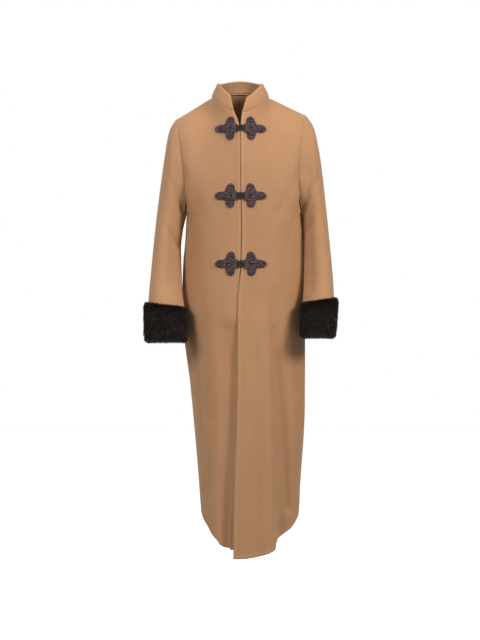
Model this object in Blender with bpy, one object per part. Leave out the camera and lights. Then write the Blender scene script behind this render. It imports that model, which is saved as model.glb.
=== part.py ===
"""A long coat with a stand collar, three braided frogs and fur cuffs.

The coat hangs as worn, hollow, and open at the neck, hem and cuffs.
Metres, +Z up. The front faces -Y and the wearer's left is +X.
The origin lies on the centre plane, at the height of the neck points.
"""
import math

import bmesh
import bpy
import numpy
from mathutils import Vector
from mathutils.bvhtree import BVHTree

# Cloth and seams
CLOTH = 0.0025
COLLAR_CLOTH = 0.004
SEAM_GAP = 0.0003
HEM_STEP = 0.0009
NECK_LEAST_RISE = 0.15

# Heights of the main lines
UNDERARM_Z = -0.335
HEM_LOWEST_Z = -1.280
HEM_FRONT_Z = {"left": -1.280, "right": -1.256}
HEM_SIDE_Z = {"left": -1.180, "right": -1.125}
HEM_BACK_Z = -1.272
HEM_CURVE = 3.0

# Grid of the panels
FRONT_COLUMNS = 14
NECK_COLUMNS = 6
YOKE_ROWS = 10
SKIRT_HEIGHTS = (-1.280, -1.250, -1.190, -1.115, -1.040, -0.960, -0.880, -0.800,
                 -0.720, -0.650, -0.590, -0.545, -0.515, -0.485, -0.435, -0.385, -0.335)

# The chest and shoulder cloth settles into an even curve above this row
FIRST_EASED_ROW = 14
EASE_TURNS = 150
EASE_STEP = 0.028
HELD_COLUMNS = 3

# The right front's tuck under the left one: how far before the edge it starts, and its slopes
TUCK_START = 0.0018
TUCK_RISE = 0.0011
TUCK_REACH = 0.030
TUCK_FADE = 0.026

# Body sections: height, wearer's right side, wearer's left side, depth of the back
BODY = (
    {"z": -1.280, "right": -0.106, "left": 0.158, "back": 0.126},
    {"z": -1.100, "right": -0.116, "left": 0.165, "back": 0.126},
    {"z": -0.920, "right": -0.131, "left": 0.179, "back": 0.124},
    {"z": -0.780, "right": -0.145, "left": 0.182, "back": 0.122},
    {"z": -0.660, "right": -0.161, "left": 0.182, "back": 0.122},
    {"z": -0.500, "right": -0.160, "left": 0.179, "back": 0.115},
    {"z": -0.335, "right": -0.152, "left": 0.171, "back": 0.108},
)

# Front line: height, middle of the front, both edges, depth of the front
OPENING = (
    {"z": -1.280, "middle": -0.020, "left_edge": -0.0200, "right_edge": -0.0070, "front": -0.130},
    {"z": -1.100, "middle": -0.017, "left_edge": -0.0170, "right_edge": -0.0040, "front": -0.130},
    {"z": -0.920, "middle": -0.011, "left_edge": -0.0110, "right_edge": 0.0020, "front": -0.130},
    {"z": -0.780, "middle": -0.008, "left_edge": -0.0080, "right_edge": 0.0050, "front": -0.129},
    {"z": -0.590, "middle": -0.008, "left_edge": -0.0080, "right_edge": 0.0030, "front": -0.128},
    {"z": -0.545, "middle": -0.006, "left_edge": -0.0050, "right_edge": 0.0000, "front": -0.127},
    {"z": -0.515, "middle": -0.003, "left_edge": -0.0015, "right_edge": -0.0021, "front": -0.127},
    {"z": -0.485, "middle": 0.000, "left_edge": 0.0015, "right_edge": -0.0003, "front": -0.126},
    {"z": -0.385, "middle": 0.002, "left_edge": 0.0035, "right_edge": 0.0017, "front": -0.124},
    {"z": -0.335, "middle": 0.002, "left_edge": 0.0028, "right_edge": 0.0012, "front": -0.123},
    {"z": -0.250, "middle": 0.000, "left_edge": 0.0008, "right_edge": -0.0008, "front": -0.122},
    {"z": -0.150, "middle": 0.000, "left_edge": 0.0006, "right_edge": -0.0010, "front": -0.112},
    {"z": -0.104, "middle": 0.000, "left_edge": 0.0008, "right_edge": -0.0014, "front": -0.103},
    {"z": -0.080, "middle": 0.000, "left_edge": 0.0010, "right_edge": -0.0060, "front": -0.095},
    {"z": -0.057, "middle": 0.000, "left_edge": 0.0040, "right_edge": -0.0180, "front": -0.086},
)

# Centre back line: height and depth
BACK_LINE = (
    {"z": -0.335, "back": 0.108},
    {"z": -0.220, "back": 0.112},
    {"z": -0.120, "back": 0.104},
    {"z": -0.040, "back": 0.086},
    {"z": 0.020, "back": 0.064},
)

# Rings of the neckline seam and of the collar's top edge
NECKLINE = {"right": -0.082, "left": 0.081, "front": -0.086, "back": 0.064,
            "z_front": -0.057, "z_side": -0.003, "z_back": 0.020}
COLLAR_TOP = {"right": -0.063, "left": 0.061, "front": -0.080, "back": 0.054,
              "z_front": -0.018, "z_side": 0.037, "z_back": 0.053}
COLLAR_FOOT_ENDS = {"left": 0.0040, "right": -0.0180}
COLLAR_TOP_ENDS = {"left": 0.0170, "right": -0.0280}
COLLAR_ROWS = 3
COLLAR_BULGE = 0.002
COLLAR_LIFT = 0.0013

# Armhole seams: shoulder tip, front, underarm and back points
ARMHOLES = {
    "left": {"tip": (0.184, 0.004, -0.051), "front": (0.164, -0.062, -0.200),
             "under": (0.171, 0.000, -0.335), "back": (0.169, 0.066, -0.200)},
    "right": {"tip": (-0.183, 0.004, -0.064), "front": (-0.160, -0.062, -0.205),
              "under": (-0.152, 0.000, -0.335), "back": (-0.160, 0.066, -0.205)},
}

# Sleeve rings below the armhole: outer line, inner line, middle depth and half depth
SLEEVES = {
    "left": (
        {"out": (0.2065, -0.087), "in": (0.1750, -0.352), "mid": 0.001, "deep": 0.063},
        {"out": (0.2205, -0.148), "in": (0.1770, -0.368), "mid": -0.001, "deep": 0.062},
        {"out": (0.229, -0.205), "in": (0.1785, -0.392), "mid": -0.003, "deep": 0.061},
        {"out": (0.236, -0.270), "in": (0.1795, -0.425), "mid": -0.008, "deep": 0.060},
        {"out": (0.243, -0.340), "in": (0.1805, -0.462), "mid": -0.017, "deep": 0.059},
        {"out": (0.249, -0.410), "in": (0.1810, -0.498), "mid": -0.030, "deep": 0.057},
        {"out": (0.254, -0.475), "in": (0.1805, -0.532), "mid": -0.047, "deep": 0.055},
        {"out": (0.257, -0.530), "in": (0.1785, -0.562), "mid": -0.066, "deep": 0.053},
        {"out": (0.257, -0.575), "in": (0.1760, -0.588), "mid": -0.084, "deep": 0.050},
        {"out": (0.254, -0.620), "in": (0.174, -0.626), "mid": -0.098, "deep": 0.049},
        {"out": (0.250, -0.663), "in": (0.174, -0.663), "mid": -0.106, "deep": 0.048},
    ),
    "right": (
        {"out": (-0.2015, -0.100), "in": (-0.157, -0.352), "mid": 0.001, "deep": 0.063},
        {"out": (-0.213, -0.165), "in": (-0.161, -0.370), "mid": -0.001, "deep": 0.062},
        {"out": (-0.222, -0.228), "in": (-0.165, -0.396), "mid": -0.003, "deep": 0.061},
        {"out": (-0.230, -0.292), "in": (-0.168, -0.428), "mid": -0.008, "deep": 0.060},
        {"out": (-0.237, -0.355), "in": (-0.169, -0.463), "mid": -0.017, "deep": 0.059},
        {"out": (-0.243, -0.420), "in": (-0.168, -0.500), "mid": -0.030, "deep": 0.057},
        {"out": (-0.248, -0.485), "in": (-0.167, -0.540), "mid": -0.047, "deep": 0.056},
        {"out": (-0.252, -0.540), "in": (-0.164, -0.572), "mid": -0.066, "deep": 0.054},
        {"out": (-0.254, -0.588), "in": (-0.160, -0.600), "mid": -0.084, "deep": 0.052},
        {"out": (-0.254, -0.632), "in": (-0.156, -0.638), "mid": -0.098, "deep": 0.051},
        {"out": (-0.252, -0.675), "in": (-0.156, -0.675), "mid": -0.106, "deep": 0.050},
    ),
}

# Folds of the body, by angle from the front middle (degrees, + to the wearer's left)
BODY_FOLD_RADIUS = 0.150
BODY_FOLDS = (
    {"name": "left ridge", "top": (21.0, -0.640), "foot": (33.0, -1.300),
     "width": 0.020, "start": 0.005, "end": 0.012},
    {"name": "left trough", "top": (35.0, -0.600), "foot": (52.0, -1.250),
     "width": 0.024, "start": -0.008, "end": -0.020},
    {"name": "opening trough", "top": (-9.0, -0.700), "foot": (-19.0, -1.300),
     "width": 0.015, "start": -0.005, "end": -0.014},
    {"name": "right ridge", "top": (-52.0, -0.640), "foot": (-60.0, -1.250),
     "width": 0.036, "start": 0.002, "end": 0.009},
    {"name": "left side ridge", "top": (84.0, -0.800), "foot": (88.0, -1.150),
     "width": 0.030, "start": 0.000, "end": 0.004},
    {"name": "back left trough", "top": (136.0, -0.560), "foot": (128.0, -1.250),
     "width": 0.030, "start": -0.003, "end": -0.017},
    {"name": "back left ridge", "top": (158.0, -0.620), "foot": (155.0, -1.300),
     "width": 0.028, "start": 0.002, "end": 0.012},
    {"name": "back middle trough", "top": (178.0, -0.480), "foot": (183.0, -1.300),
     "width": 0.026, "start": -0.003, "end": -0.013},
    {"name": "back right ridge", "top": (208.0, -0.560), "foot": (212.0, -1.280),
     "width": 0.028, "start": 0.002, "end": 0.012},
    {"name": "back right trough", "top": (228.0, -0.640), "foot": (238.0, -1.220),
     "width": 0.028, "start": -0.003, "end": -0.015},
)

# Folds of the sleeves: 0 outer, 90 front, 180 inner, 270 back; height along the sleeve
SLEEVE_FOLD_RADIUS = 0.055
SLEEVE_FOLDS = {
    "left": (
        {"name": "upper drag", "top": (52.0, -0.165), "foot": (150.0, -0.300),
         "width": 0.013, "start": -0.001, "end": -0.005},
        {"name": "elbow drag", "top": (70.0, -0.290), "foot": (160.0, -0.380),
         "width": 0.014, "start": -0.002, "end": -0.006},
        {"name": "inner hollow", "top": (138.0, -0.340), "foot": (128.0, -0.540),
         "width": 0.016, "start": -0.003, "end": -0.004},
        {"name": "back drag", "top": (300.0, -0.260), "foot": (215.0, -0.400),
         "width": 0.015, "start": -0.002, "end": -0.006},
    ),
    "right": (
        {"name": "front hollow", "top": (112.0, -0.240), "foot": (118.0, -0.520),
         "width": 0.020, "start": -0.002, "end": -0.005},
        {"name": "elbow drag", "top": (62.0, -0.360), "foot": (130.0, -0.430),
         "width": 0.013, "start": -0.001, "end": -0.004},
        {"name": "back drag", "top": (292.0, -0.280), "foot": (212.0, -0.410),
         "width": 0.015, "start": -0.002, "end": -0.006},
    ),
}

# Fur cuffs, wrapped round the last rings of each sleeve
CUFF_RINGS = 3
CUFF_GAP = 0.0007
FUR_REACH = 0.015
FUR_TOP_LIFT = 0.006
FUR_FOOT_DROP = 0.012
CUFF_PROFILE = (
    {"along": 0.00, "reach": 0.35},
    {"along": 0.07, "reach": 0.82},
    {"along": 0.30, "reach": 1.00},
    {"along": 0.65, "reach": 1.00},
    {"along": 0.93, "reach": 0.85},
    {"along": 1.00, "reach": 0.40},
)

# Frogs: heights of the three pairs, and the leaf outline round its own middle
FROG_HEIGHTS = (-0.1025, -0.2900, -0.4760)
FROG_CENTRES = (0.000, 0.000, 0.001)
LEAF_MIDDLE = 0.031
LEAF_OUTLINE = (
    {"angle": 0.0, "radius": 0.0360},
    {"angle": 14.0, "radius": 0.0325},
    {"angle": 32.0, "radius": 0.0215},
    {"angle": 48.0, "radius": 0.0185},
    {"angle": 66.0, "radius": 0.0225},
    {"angle": 84.0, "radius": 0.0295},
    {"angle": 100.0, "radius": 0.0325},
    {"angle": 114.0, "radius": 0.0285},
    {"angle": 132.0, "radius": 0.0215},
    {"angle": 156.0, "radius": 0.0190},
    {"angle": 180.0, "radius": 0.0185},
)
LEAF_STEPS = 40
LEAF_RINGS = (0.35, 0.66, 0.88, 1.00)
LEAF_HEIGHTS = (0.0047, 0.0052, 0.0048, 0.0030)
LEAF_PLAIT = 0.0007
LEAF_STANDOFF = 0.0006
LOOP_RADIUS = 0.0082
LOOP_CORD = 0.0022
LOOP_STEPS = 16
LOOP_SIDES = 8
EDGE_STEP = 0.004
BUTTON_RADIUS = 0.0059
BUTTON_FLATNESS = 0.62
BUTTON_LIFT = 0.0017

# Colours
CAMEL = (0.48, 0.27, 0.13, 1.0)
FUR = (0.020, 0.013, 0.012, 1.0)
BRAID = (0.055, 0.033, 0.030, 1.0)
WOOL_ROUGHNESS = 0.85
TRIM_ROUGHNESS = 0.6

# A point inside the body, and one well in front of the coat
INSIDE = (0.01, 0.0, -0.6)
FAR_FRONT_Y = -1.0


def smooth(t):
    t = min(max(t, 0.0), 1.0)
    return t * t * (3.0 - 2.0 * t)


def read(table, column, z):
    """Value of a column at height z, on a smooth curve through the table's rows."""
    if z <= table[0]["z"]:
        return table[0][column]
    if z >= table[-1]["z"]:
        return table[-1][column]
    upper = next(i for i, row in enumerate(table) if row["z"] >= z)
    rows = [table[max(upper - 2, 0)], table[upper - 1], table[upper], table[min(upper + 1, len(table) - 1)]]
    span = rows[2]["z"] - rows[1]["z"]
    t = (z - rows[1]["z"]) / span
    slope_low = (rows[2][column] - rows[0][column]) / (rows[2]["z"] - rows[0]["z"]) * span
    slope_high = (rows[3][column] - rows[1][column]) / (rows[3]["z"] - rows[1]["z"]) * span
    low, high = rows[1][column], rows[2][column]
    return ((2 * t**3 - 3 * t**2 + 1) * low + (t**3 - 2 * t**2 + t) * slope_low
            + (3 * t**2 - 2 * t**3) * high + (t**3 - t**2) * slope_high)


def straight(table, column, z):
    """Value of a column at height z, on straight lines between the table's rows."""
    for low, high in zip(table, table[1:]):
        if z <= high["z"]:
            t = max((z - low["z"]) / (high["z"] - low["z"]), 0.0)
            return low[column] + (high[column] - low[column]) * t
    return table[-1][column]


def fold_height(folds, angle, height, radius):
    """How far the folds push the cloth out at this angle and height."""
    total = 0.0
    for fold in folds:
        turn = (angle - fold["top"][0] + 180.0) % 360.0 - 180.0
        across = math.radians(turn) * radius
        down = fold["top"][1] - height
        run = math.radians(fold["foot"][0] - fold["top"][0]) * radius
        drop = fold["top"][1] - fold["foot"][1]
        t = min(max((across * run + down * drop) / (run * run + drop * drop), 0.0), 1.0)
        distance = math.hypot(across - run * t, down - drop * t)
        push = fold["start"] + (fold["end"] - fold["start"]) * t
        total += push * math.exp(-(distance / fold["width"]) ** 2)
    return total


def hem_height(side, angle):
    """The hem is low at front and back and rises to the sides, more on the wearer's right."""
    low = HEM_FRONT_Z[side] if abs(angle) <= 90.0 else HEM_BACK_Z
    rise = abs(math.sin(math.radians(angle))) ** HEM_CURVE
    return low + (HEM_SIDE_Z[side] - low) * rise


def body_point(angle, z):
    """Outer face of the coat below the underarms. Angle 0 is the front, 180 the back."""
    sine = math.sin(math.radians(angle))
    cosine = math.cos(math.radians(angle))
    left = read(BODY, "left", z)
    right = read(BODY, "right", z)
    in_front = abs((angle + 180.0) % 360.0 - 180.0) <= 90.0
    middle = read(OPENING, "middle", z) if in_front else (left + right) / 2
    depth = read(OPENING, "front", z) if in_front else read(BODY, "back", z)
    half = left - middle if sine >= 0 else middle - right
    push = fold_height(BODY_FOLDS, angle, z, BODY_FOLD_RADIUS)
    return Vector((middle + sine * (half + push), abs(cosine) * depth - cosine * push, z))


def ring_point(ring, angle):
    """A point of the neckline or of the collar's top edge."""
    sine = math.sin(math.radians(angle))
    cosine = math.cos(math.radians(angle))
    half = ring["left"] if sine >= 0 else -ring["right"]
    end = "front" if cosine >= 0 else "back"
    z = ring["z_side"] * sine**2 + ring["z_" + end] * cosine**2
    return Vector((half * sine, ring[end] * abs(cosine), z))


def ring_angle(ring, x):
    """Angle of the front point of a ring at this x."""
    half = ring["left"] if x >= 0 else -ring["right"]
    return math.degrees(math.asin(x / half))


def armhole_point(side, angle):
    """Armhole seam: 0 at the shoulder tip, 90 at the front, 180 under the arm."""
    tip, front, under, back = (Vector(ARMHOLES[side][key]) for key in ("tip", "front", "under", "back"))
    return loop_point(tip, front, under, back, angle)


def loop_point(outer, front, inner, back, angle):
    """A smooth closed curve through four points, a quarter turn apart."""
    a = math.radians(angle)
    middle = (outer + inner + front + back) / 4
    shape = (outer + inner - front - back) / 4
    round_part = (outer - inner) / 2 * math.cos(a) + (front - back) / 2 * math.sin(a)
    return middle + round_part + shape * math.cos(2 * a)


def patch_point(u, v, bottom, top, start, end):
    """Surface between four boundary curves. u runs to the armhole and v runs up."""
    wu, wv = smooth(u), smooth(v)
    corners = (bottom(0.0) * (1 - wu) * (1 - wv) + bottom(1.0) * wu * (1 - wv)
               + top(0.0) * (1 - wu) * wv + top(1.0) * wu * wv)
    return (bottom(u) * (1 - wv) + top(u) * wv + start(v) * (1 - wu) + end(v) * wu) - corners


def yoke_height(v, low, high):
    """Rows lie a little closer near the underarm and the shoulder, as on the armhole."""
    return low + (high - low) * (v + (1 - math.cos(math.pi * v)) / 2) / 2


def ease(rows, first_column):
    """Let the upper rows of a panel settle, with its edges held, so that no crease stays."""
    grid = numpy.array([[tuple(point) for point in row] for row in rows])
    bend = numpy.zeros_like(grid)
    pull = numpy.zeros_like(grid)
    free = (slice(FIRST_EASED_ROW, -1), slice(first_column, -HELD_COLUMNS))
    for _ in range(EASE_TURNS):
        bend[1:-1, 1:-1] = neighbours(grid) - 4 * grid[1:-1, 1:-1]
        pull[1:-1, 1:-1] = neighbours(bend) - 4 * bend[1:-1, 1:-1]
        grid[free] -= EASE_STEP * pull[free]
    return [[Vector(point) for point in row] for row in grid.tolist()]


def neighbours(grid):
    """Sum of the four neighbours of each inner point of a grid."""
    return grid[:-2, 1:-1] + grid[2:, 1:-1] + grid[1:-1, :-2] + grid[1:-1, 2:]


def neck_and_shoulder(side, u, first_angle, last_angle):
    """Top edge of half a panel: half the neckline, then the shoulder seam."""
    split = NECK_COLUMNS / FRONT_COLUMNS
    if u <= split:
        return ring_point(NECKLINE, first_angle + (last_angle - first_angle) * u / split)
    neck_point = ring_point(NECKLINE, last_angle)
    return neck_point.lerp(Vector(ARMHOLES[side]["tip"]), (u - split) / (1 - split))


def front_rows(side):
    """Outer face of one front, in rows from the hem to the neck and shoulder."""
    sign = 1.0 if side == "left" else -1.0
    edge = side + "_edge"
    rows = []
    for row_z in SKIRT_HEIGHTS:
        lift = (row_z - HEM_LOWEST_Z) / (UNDERARM_Z - HEM_LOWEST_Z)
        row = []
        for column in range(FRONT_COLUMNS + 1):
            u = column / FRONT_COLUMNS
            start = edge_angle(side, straight(OPENING, edge, row_z), row_z)
            angle = start + (sign * 90.0 - start) * u
            hem = hem_height(side, angle)
            row.append(body_point(angle, hem + (UNDERARM_Z - hem) * lift))
        rows.append(row)
    start = edge_angle(side, straight(OPENING, edge, UNDERARM_Z), UNDERARM_Z)
    neck_start = ring_angle(NECKLINE, COLLAR_FOOT_ENDS[side])

    def bottom(u):
        return body_point(start + (sign * 90.0 - start) * u, UNDERARM_Z)

    def top(u):
        return neck_and_shoulder(side, u, neck_start, sign * 90.0)

    def opening(v):
        z = yoke_height(v, UNDERARM_Z, top(0.0).z)
        return Vector((straight(OPENING, edge, z), read(OPENING, "front", z), z))

    def armhole(v):
        return armhole_point(side, 180.0 - 180.0 * v)

    for step in range(1, YOKE_ROWS + 1):
        v = step / YOKE_ROWS
        rows.append([patch_point(column / FRONT_COLUMNS, v, bottom, top, opening, armhole)
                     for column in range(FRONT_COLUMNS + 1)])
    return rows


def edge_angle(side, x, z):
    """Angle at which a front's edge starts, from its distance to the front's middle."""
    middle = read(OPENING, "middle", z)
    half = read(BODY, "left", z) - middle if x >= middle else middle - read(BODY, "right", z)
    return math.degrees(math.asin((x - middle) / half))


def back_half_rows(side):
    """Outer face of half the back, from the centre back line to the side."""
    sign = 1.0 if side == "left" else -1.0
    rows = []
    for row_z in SKIRT_HEIGHTS:
        lift = (row_z - HEM_LOWEST_Z) / (UNDERARM_Z - HEM_LOWEST_Z)
        row = []
        for column in range(FRONT_COLUMNS + 1):
            angle = sign * (180.0 - 90.0 * column / FRONT_COLUMNS)
            hem = hem_height(side, angle)
            row.append(side_height_point(angle, hem, lift))
        rows.append(row)

    def bottom(u):
        return side_height_point(sign * (180.0 - 90.0 * u), HEM_LOWEST_Z, 1.0)

    def top(u):
        return neck_and_shoulder(side, u, sign * 180.0, sign * 90.0)

    def centre(v):
        z = yoke_height(v, UNDERARM_Z, NECKLINE["z_back"])
        middle = (BODY[-1]["left"] + BODY[-1]["right"]) / 2
        return Vector((middle * (1 - smooth(v)), read(BACK_LINE, "back", z), z))

    def armhole(v):
        return armhole_point(side, 180.0 + 180.0 * v)

    for step in range(1, YOKE_ROWS + 1):
        v = step / YOKE_ROWS
        rows.append([patch_point(column / FRONT_COLUMNS, v, bottom, top, centre, armhole)
                     for column in range(FRONT_COLUMNS + 1)])
    return rows


def side_height_point(angle, hem, lift):
    """A point of the back. Exactly at a side it is the point that the front has."""
    if abs(abs(angle) - 90.0) < 0.001:
        angle = math.copysign(90.0, angle)
    return body_point(angle, hem + (UNDERARM_Z - hem) * lift)


def back_rows():
    """The whole back in one piece, from the wearer's right to the wearer's left."""
    right = back_half_rows("right")
    left = back_half_rows("left")
    return [r[::-1] + l[1:] for r, l in zip(right, left)]


def sleeve_rings(side):
    """Outer face of a sleeve, in closed rings from the armhole to the wrist."""
    sign = 1.0 if side == "left" else -1.0
    steps = 2 * YOKE_ROWS
    angles = [360.0 * step / steps for step in range(steps)]
    step_out = Vector((sign * SEAM_GAP, 0.0, 0.0))
    rings = [[armhole_point(side, angle) + step_out for angle in angles]]
    for row in SLEEVES[side]:
        outer = Vector((row["out"][0], row["mid"], row["out"][1]))
        inner = Vector((row["in"][0], row["mid"], row["in"][1]))
        middle = (outer + inner) / 2
        front = middle + Vector((0.0, -row["deep"], 0.0))
        back = middle + Vector((0.0, row["deep"], 0.0))
        ring = []
        for angle in angles:
            point = loop_point(outer, front, inner, back, angle)
            away = (point - middle).normalized()
            push = fold_height(SLEEVE_FOLDS[side], angle, point.z, SLEEVE_FOLD_RADIUS)
            ring.append(point + away * push)
        rings.append(ring)
    return rings


def grid_normals(rows, closed=False):
    """Unit normals of a grid of points, from each point's neighbours."""
    normals = []
    last_row, last_column = len(rows) - 1, len(rows[0]) - 1
    for i, row in enumerate(rows):
        line = []
        for j in range(len(row)):
            if closed:
                across = row[(j + 1) % len(row)] - row[j - 1]
            else:
                across = row[min(j + 1, last_column)] - row[max(j - 1, 0)]
            along = rows[min(i + 1, last_row)][j] - rows[max(i - 1, 0)][j]
            line.append(across.cross(along).normalized())
        normals.append(line)
    return normals


def facing_out(rows, normals, middle):
    """Turn a whole grid's normals so that they point away from a middle point."""
    away = sum((rows[i][j] - middle).dot(normals[i][j])
               for i in range(len(rows)) for j in range(len(rows[0])))
    sign = 1.0 if away > 0 else -1.0
    return [[normal * sign for normal in line] for line in normals]


def share_normals(first, second, pairs):
    """Give two panels the same normals along the seam that they share."""
    for (i, j), (k, m) in pairs:
        common = (first[i][j] + second[k][m]).normalized()
        first[i][j] = common
        second[k][m] = common


def part_edge(rows, i, j, towards, distance):
    """Move an edge point a little towards the inside of its panel."""
    k, m = towards
    rows[i][j] = rows[i][j] + (rows[k][m] - rows[i][j]).normalized() * distance


def wall(outer, normals, thickness):
    """Inner face of a cloth wall."""
    return [[point - normal * thickness for point, normal in zip(line, turned)]
            for line, turned in zip(outer, normals)]


def material(name, colour, roughness):
    made = bpy.data.materials.new(name)
    made.use_nodes = True
    shader = made.node_tree.nodes["Principled BSDF"]
    shader.inputs["Base Color"].default_value = colour
    shader.inputs["Roughness"].default_value = roughness
    shader.inputs["Metallic"].default_value = 0.0
    return made


def new_object(name, bm, colour, roughness):
    bmesh.ops.recalc_face_normals(bm, faces=bm.faces)
    mesh = bpy.data.meshes.new(name)
    bm.to_mesh(mesh)
    bm.free()
    mesh.shade_smooth()
    made = bpy.data.objects.new(name, mesh)
    bpy.context.scene.collection.objects.link(made)
    mesh.materials.append(material(name, colour, roughness))
    return made


def cloth_solid(name, outer, inner, colour, roughness, closed=False):
    """A closed solid between an outer and an inner grid of the same size."""
    bm = bmesh.new()
    faces = [[[bm.verts.new(point) for point in line] for line in grid] for grid in (outer, inner)]
    top, base = faces
    count = len(outer[0])
    spans = range(count if closed else count - 1)
    for i in range(len(outer) - 1):
        for j in spans:
            k = (j + 1) % count
            bm.faces.new((top[i][j], top[i][k], top[i + 1][k], top[i + 1][j]))
            bm.faces.new((base[i][j], base[i + 1][j], base[i + 1][k], base[i][k]))
    for i in (0, len(outer) - 1):
        for j in spans:
            k = (j + 1) % count
            bm.faces.new((top[i][j], top[i][k], base[i][k], base[i][j]))
    if not closed:
        for j in (0, count - 1):
            for i in range(len(outer) - 1):
                bm.faces.new((top[i][j], top[i + 1][j], base[i + 1][j], base[i][j]))
    return new_object(name, bm, colour, roughness)


def tuck_under(rows, normals):
    """Below the lowest frog the wearer's right front passes under the left one."""
    for i, row in enumerate(rows):
        for j, point in enumerate(row):
            if point.z > UNDERARM_Z:
                continue
            left_edge = straight(OPENING, "left_edge", point.z)
            overlap = straight(OPENING, "right_edge", point.z) - left_edge
            amount = smooth((overlap + TUCK_START) / TUCK_RISE)
            near = smooth((point.x - left_edge + TUCK_REACH) / TUCK_FADE)
            rows[i][j] = point - normals[i][j] * (CLOTH + HEM_STEP) * amount * near


def make_body():
    """Both fronts and the back, cut apart at the side and shoulder seams."""
    rows = {"front_left": ease(front_rows("left"), 1), "front_right": ease(front_rows("right"), 1),
            "back": ease(back_rows(), HELD_COLUMNS)}
    normals = {name: facing_out(grid, grid_normals(grid), Vector(INSIDE)) for name, grid in rows.items()}
    tuck_under(rows["front_right"], normals["front_right"])
    last_row = len(rows["back"]) - 1
    last_column = FRONT_COLUMNS
    for side in ("left", "right"):
        front = normals["front_" + side]

        def back_column(column):
            return FRONT_COLUMNS + column if side == "left" else FRONT_COLUMNS - column

        seams = [((i, last_column), (i, back_column(last_column))) for i in range(len(SKIRT_HEIGHTS))]
        seams += [((last_row, j), (last_row, back_column(j))) for j in range(NECK_COLUMNS, last_column + 1)]
        share_normals(front, normals["back"], seams)
    for name in rows:
        for j, normal in enumerate(normals[name][-1]):
            normals[name][-1][j] = Vector((normal.x, normal.y, max(normal.z, NECK_LEAST_RISE))).normalized()
    for name in ("front_left", "front_right"):
        for line in normals[name]:
            line[0] = Vector((0.0, line[0].y, line[0].z)).normalized()
    inner = {name: wall(rows[name], normals[name], CLOTH) for name in rows}
    half_gap = SEAM_GAP / 2
    for grid in (rows, inner):
        for side in ("left", "right"):
            front = grid["front_" + side]
            for i in range(len(front)):
                part_edge(front, i, last_column, (i, last_column - 1), half_gap)
            for j in range(NECK_COLUMNS, last_column + 1):
                part_edge(front, last_row, j, (last_row - 1, j), half_gap)
        back = grid["back"]
        for i in range(len(back)):
            part_edge(back, i, 0, (i, 1), half_gap)
            part_edge(back, i, 2 * FRONT_COLUMNS, (i, 2 * FRONT_COLUMNS - 1), half_gap)
        for j in range(2 * FRONT_COLUMNS + 1):
            if abs(j - FRONT_COLUMNS) >= NECK_COLUMNS:
                part_edge(back, last_row, j, (last_row - 1, j), half_gap)
    for name in rows:
        cloth_solid(name, rows[name], inner[name], CAMEL, WOOL_ROUGHNESS)
    return rows


def make_sleeve(side):
    rings = sleeve_rings(side)
    normals = grid_normals(rings, closed=True)
    centres = [sum(ring, Vector()) / len(ring) for ring in rings]
    for i, ring in enumerate(rings):
        for j, point in enumerate(ring):
            inwards = (centres[i] - point).normalized()
            if i == 0:
                normals[i][j] = -inwards
            elif normals[i][j].dot(inwards) > 0:
                normals[i][j] = -normals[i][j]
    inner = wall(rings, normals, CLOTH)
    cloth_solid("sleeve_" + side, rings, inner, CAMEL, WOOL_ROUGHNESS, closed=True)
    return rings, normals


def make_cuff(side, rings, normals):
    """A tube of fur round the end of the sleeve, with rounded rims."""
    first = len(rings) - CUFF_RINGS
    count = len(rings[0])
    lift = (rings[first - 1][0] - rings[first][0]).normalized() * FUR_TOP_LIFT
    drop = (rings[-1][0] - rings[-2][0]).normalized() * FUR_FOOT_DROP
    sections = []
    for j in range(count):
        lining = [rings[i][j] + normals[i][j] * CUFF_GAP for i in range(first, len(rings))]
        lining.append(lining[-1] + drop)
        section = lining[::-1]
        length = (lining[0] + lift - lining[-1])
        for step in CUFF_PROFILE:
            foot = lining[-1] + length * (1 - step["along"])
            section.append(foot + normals[-2][j] * FUR_REACH * step["reach"])
        sections.append(section)
    bm = bmesh.new()
    verts = [[bm.verts.new(point) for point in section] for section in sections]
    size = len(verts[0])
    for j in range(count):
        k = (j + 1) % count
        for i in range(size):
            m = (i + 1) % size
            bm.faces.new((verts[j][i], verts[k][i], verts[k][m], verts[j][m]))
    return new_object("cuff_" + side, bm, FUR, TRIM_ROUGHNESS)


def make_collar():
    """A standing band on the neckline seam, open at the front."""
    rows = []
    for step in range(COLLAR_ROWS + 1):
        v = step / COLLAR_ROWS
        row = []
        for column in range(4 * NECK_COLUMNS + 1):
            quarters = column / NECK_COLUMNS
            foot = around(NECKLINE, COLLAR_FOOT_ENDS, quarters)
            top = around(COLLAR_TOP, COLLAR_TOP_ENDS, quarters)
            bulge = Vector((foot.x, foot.y, 0.0)).normalized() * COLLAR_BULGE * math.sin(math.pi * v)
            row.append(foot.lerp(top, v) + bulge + Vector((0.0, 0.0, COLLAR_LIFT)))
        rows.append(row)
    normals = facing_out(rows, grid_normals(rows), Vector((0.0, 0.0, 0.0)))
    normals[0] = [Vector((normal.x, normal.y, 0.0)).normalized() for normal in normals[0]]
    cloth_solid("collar", rows, wall(rows, normals, COLLAR_CLOTH), CAMEL, WOOL_ROUGHNESS)


def around(ring, ends, quarters):
    """A point of a ring, 0 at its wearer's left end, 2 at the back, 4 at its right end."""
    angle = 90.0 * quarters
    if quarters < 1.0:
        angle += ring_angle(ring, ends["left"]) * (1.0 - quarters)
    if quarters > 3.0:
        angle += ring_angle(ring, ends["right"]) * (quarters - 3.0)
    return ring_point(ring, angle)


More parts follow.
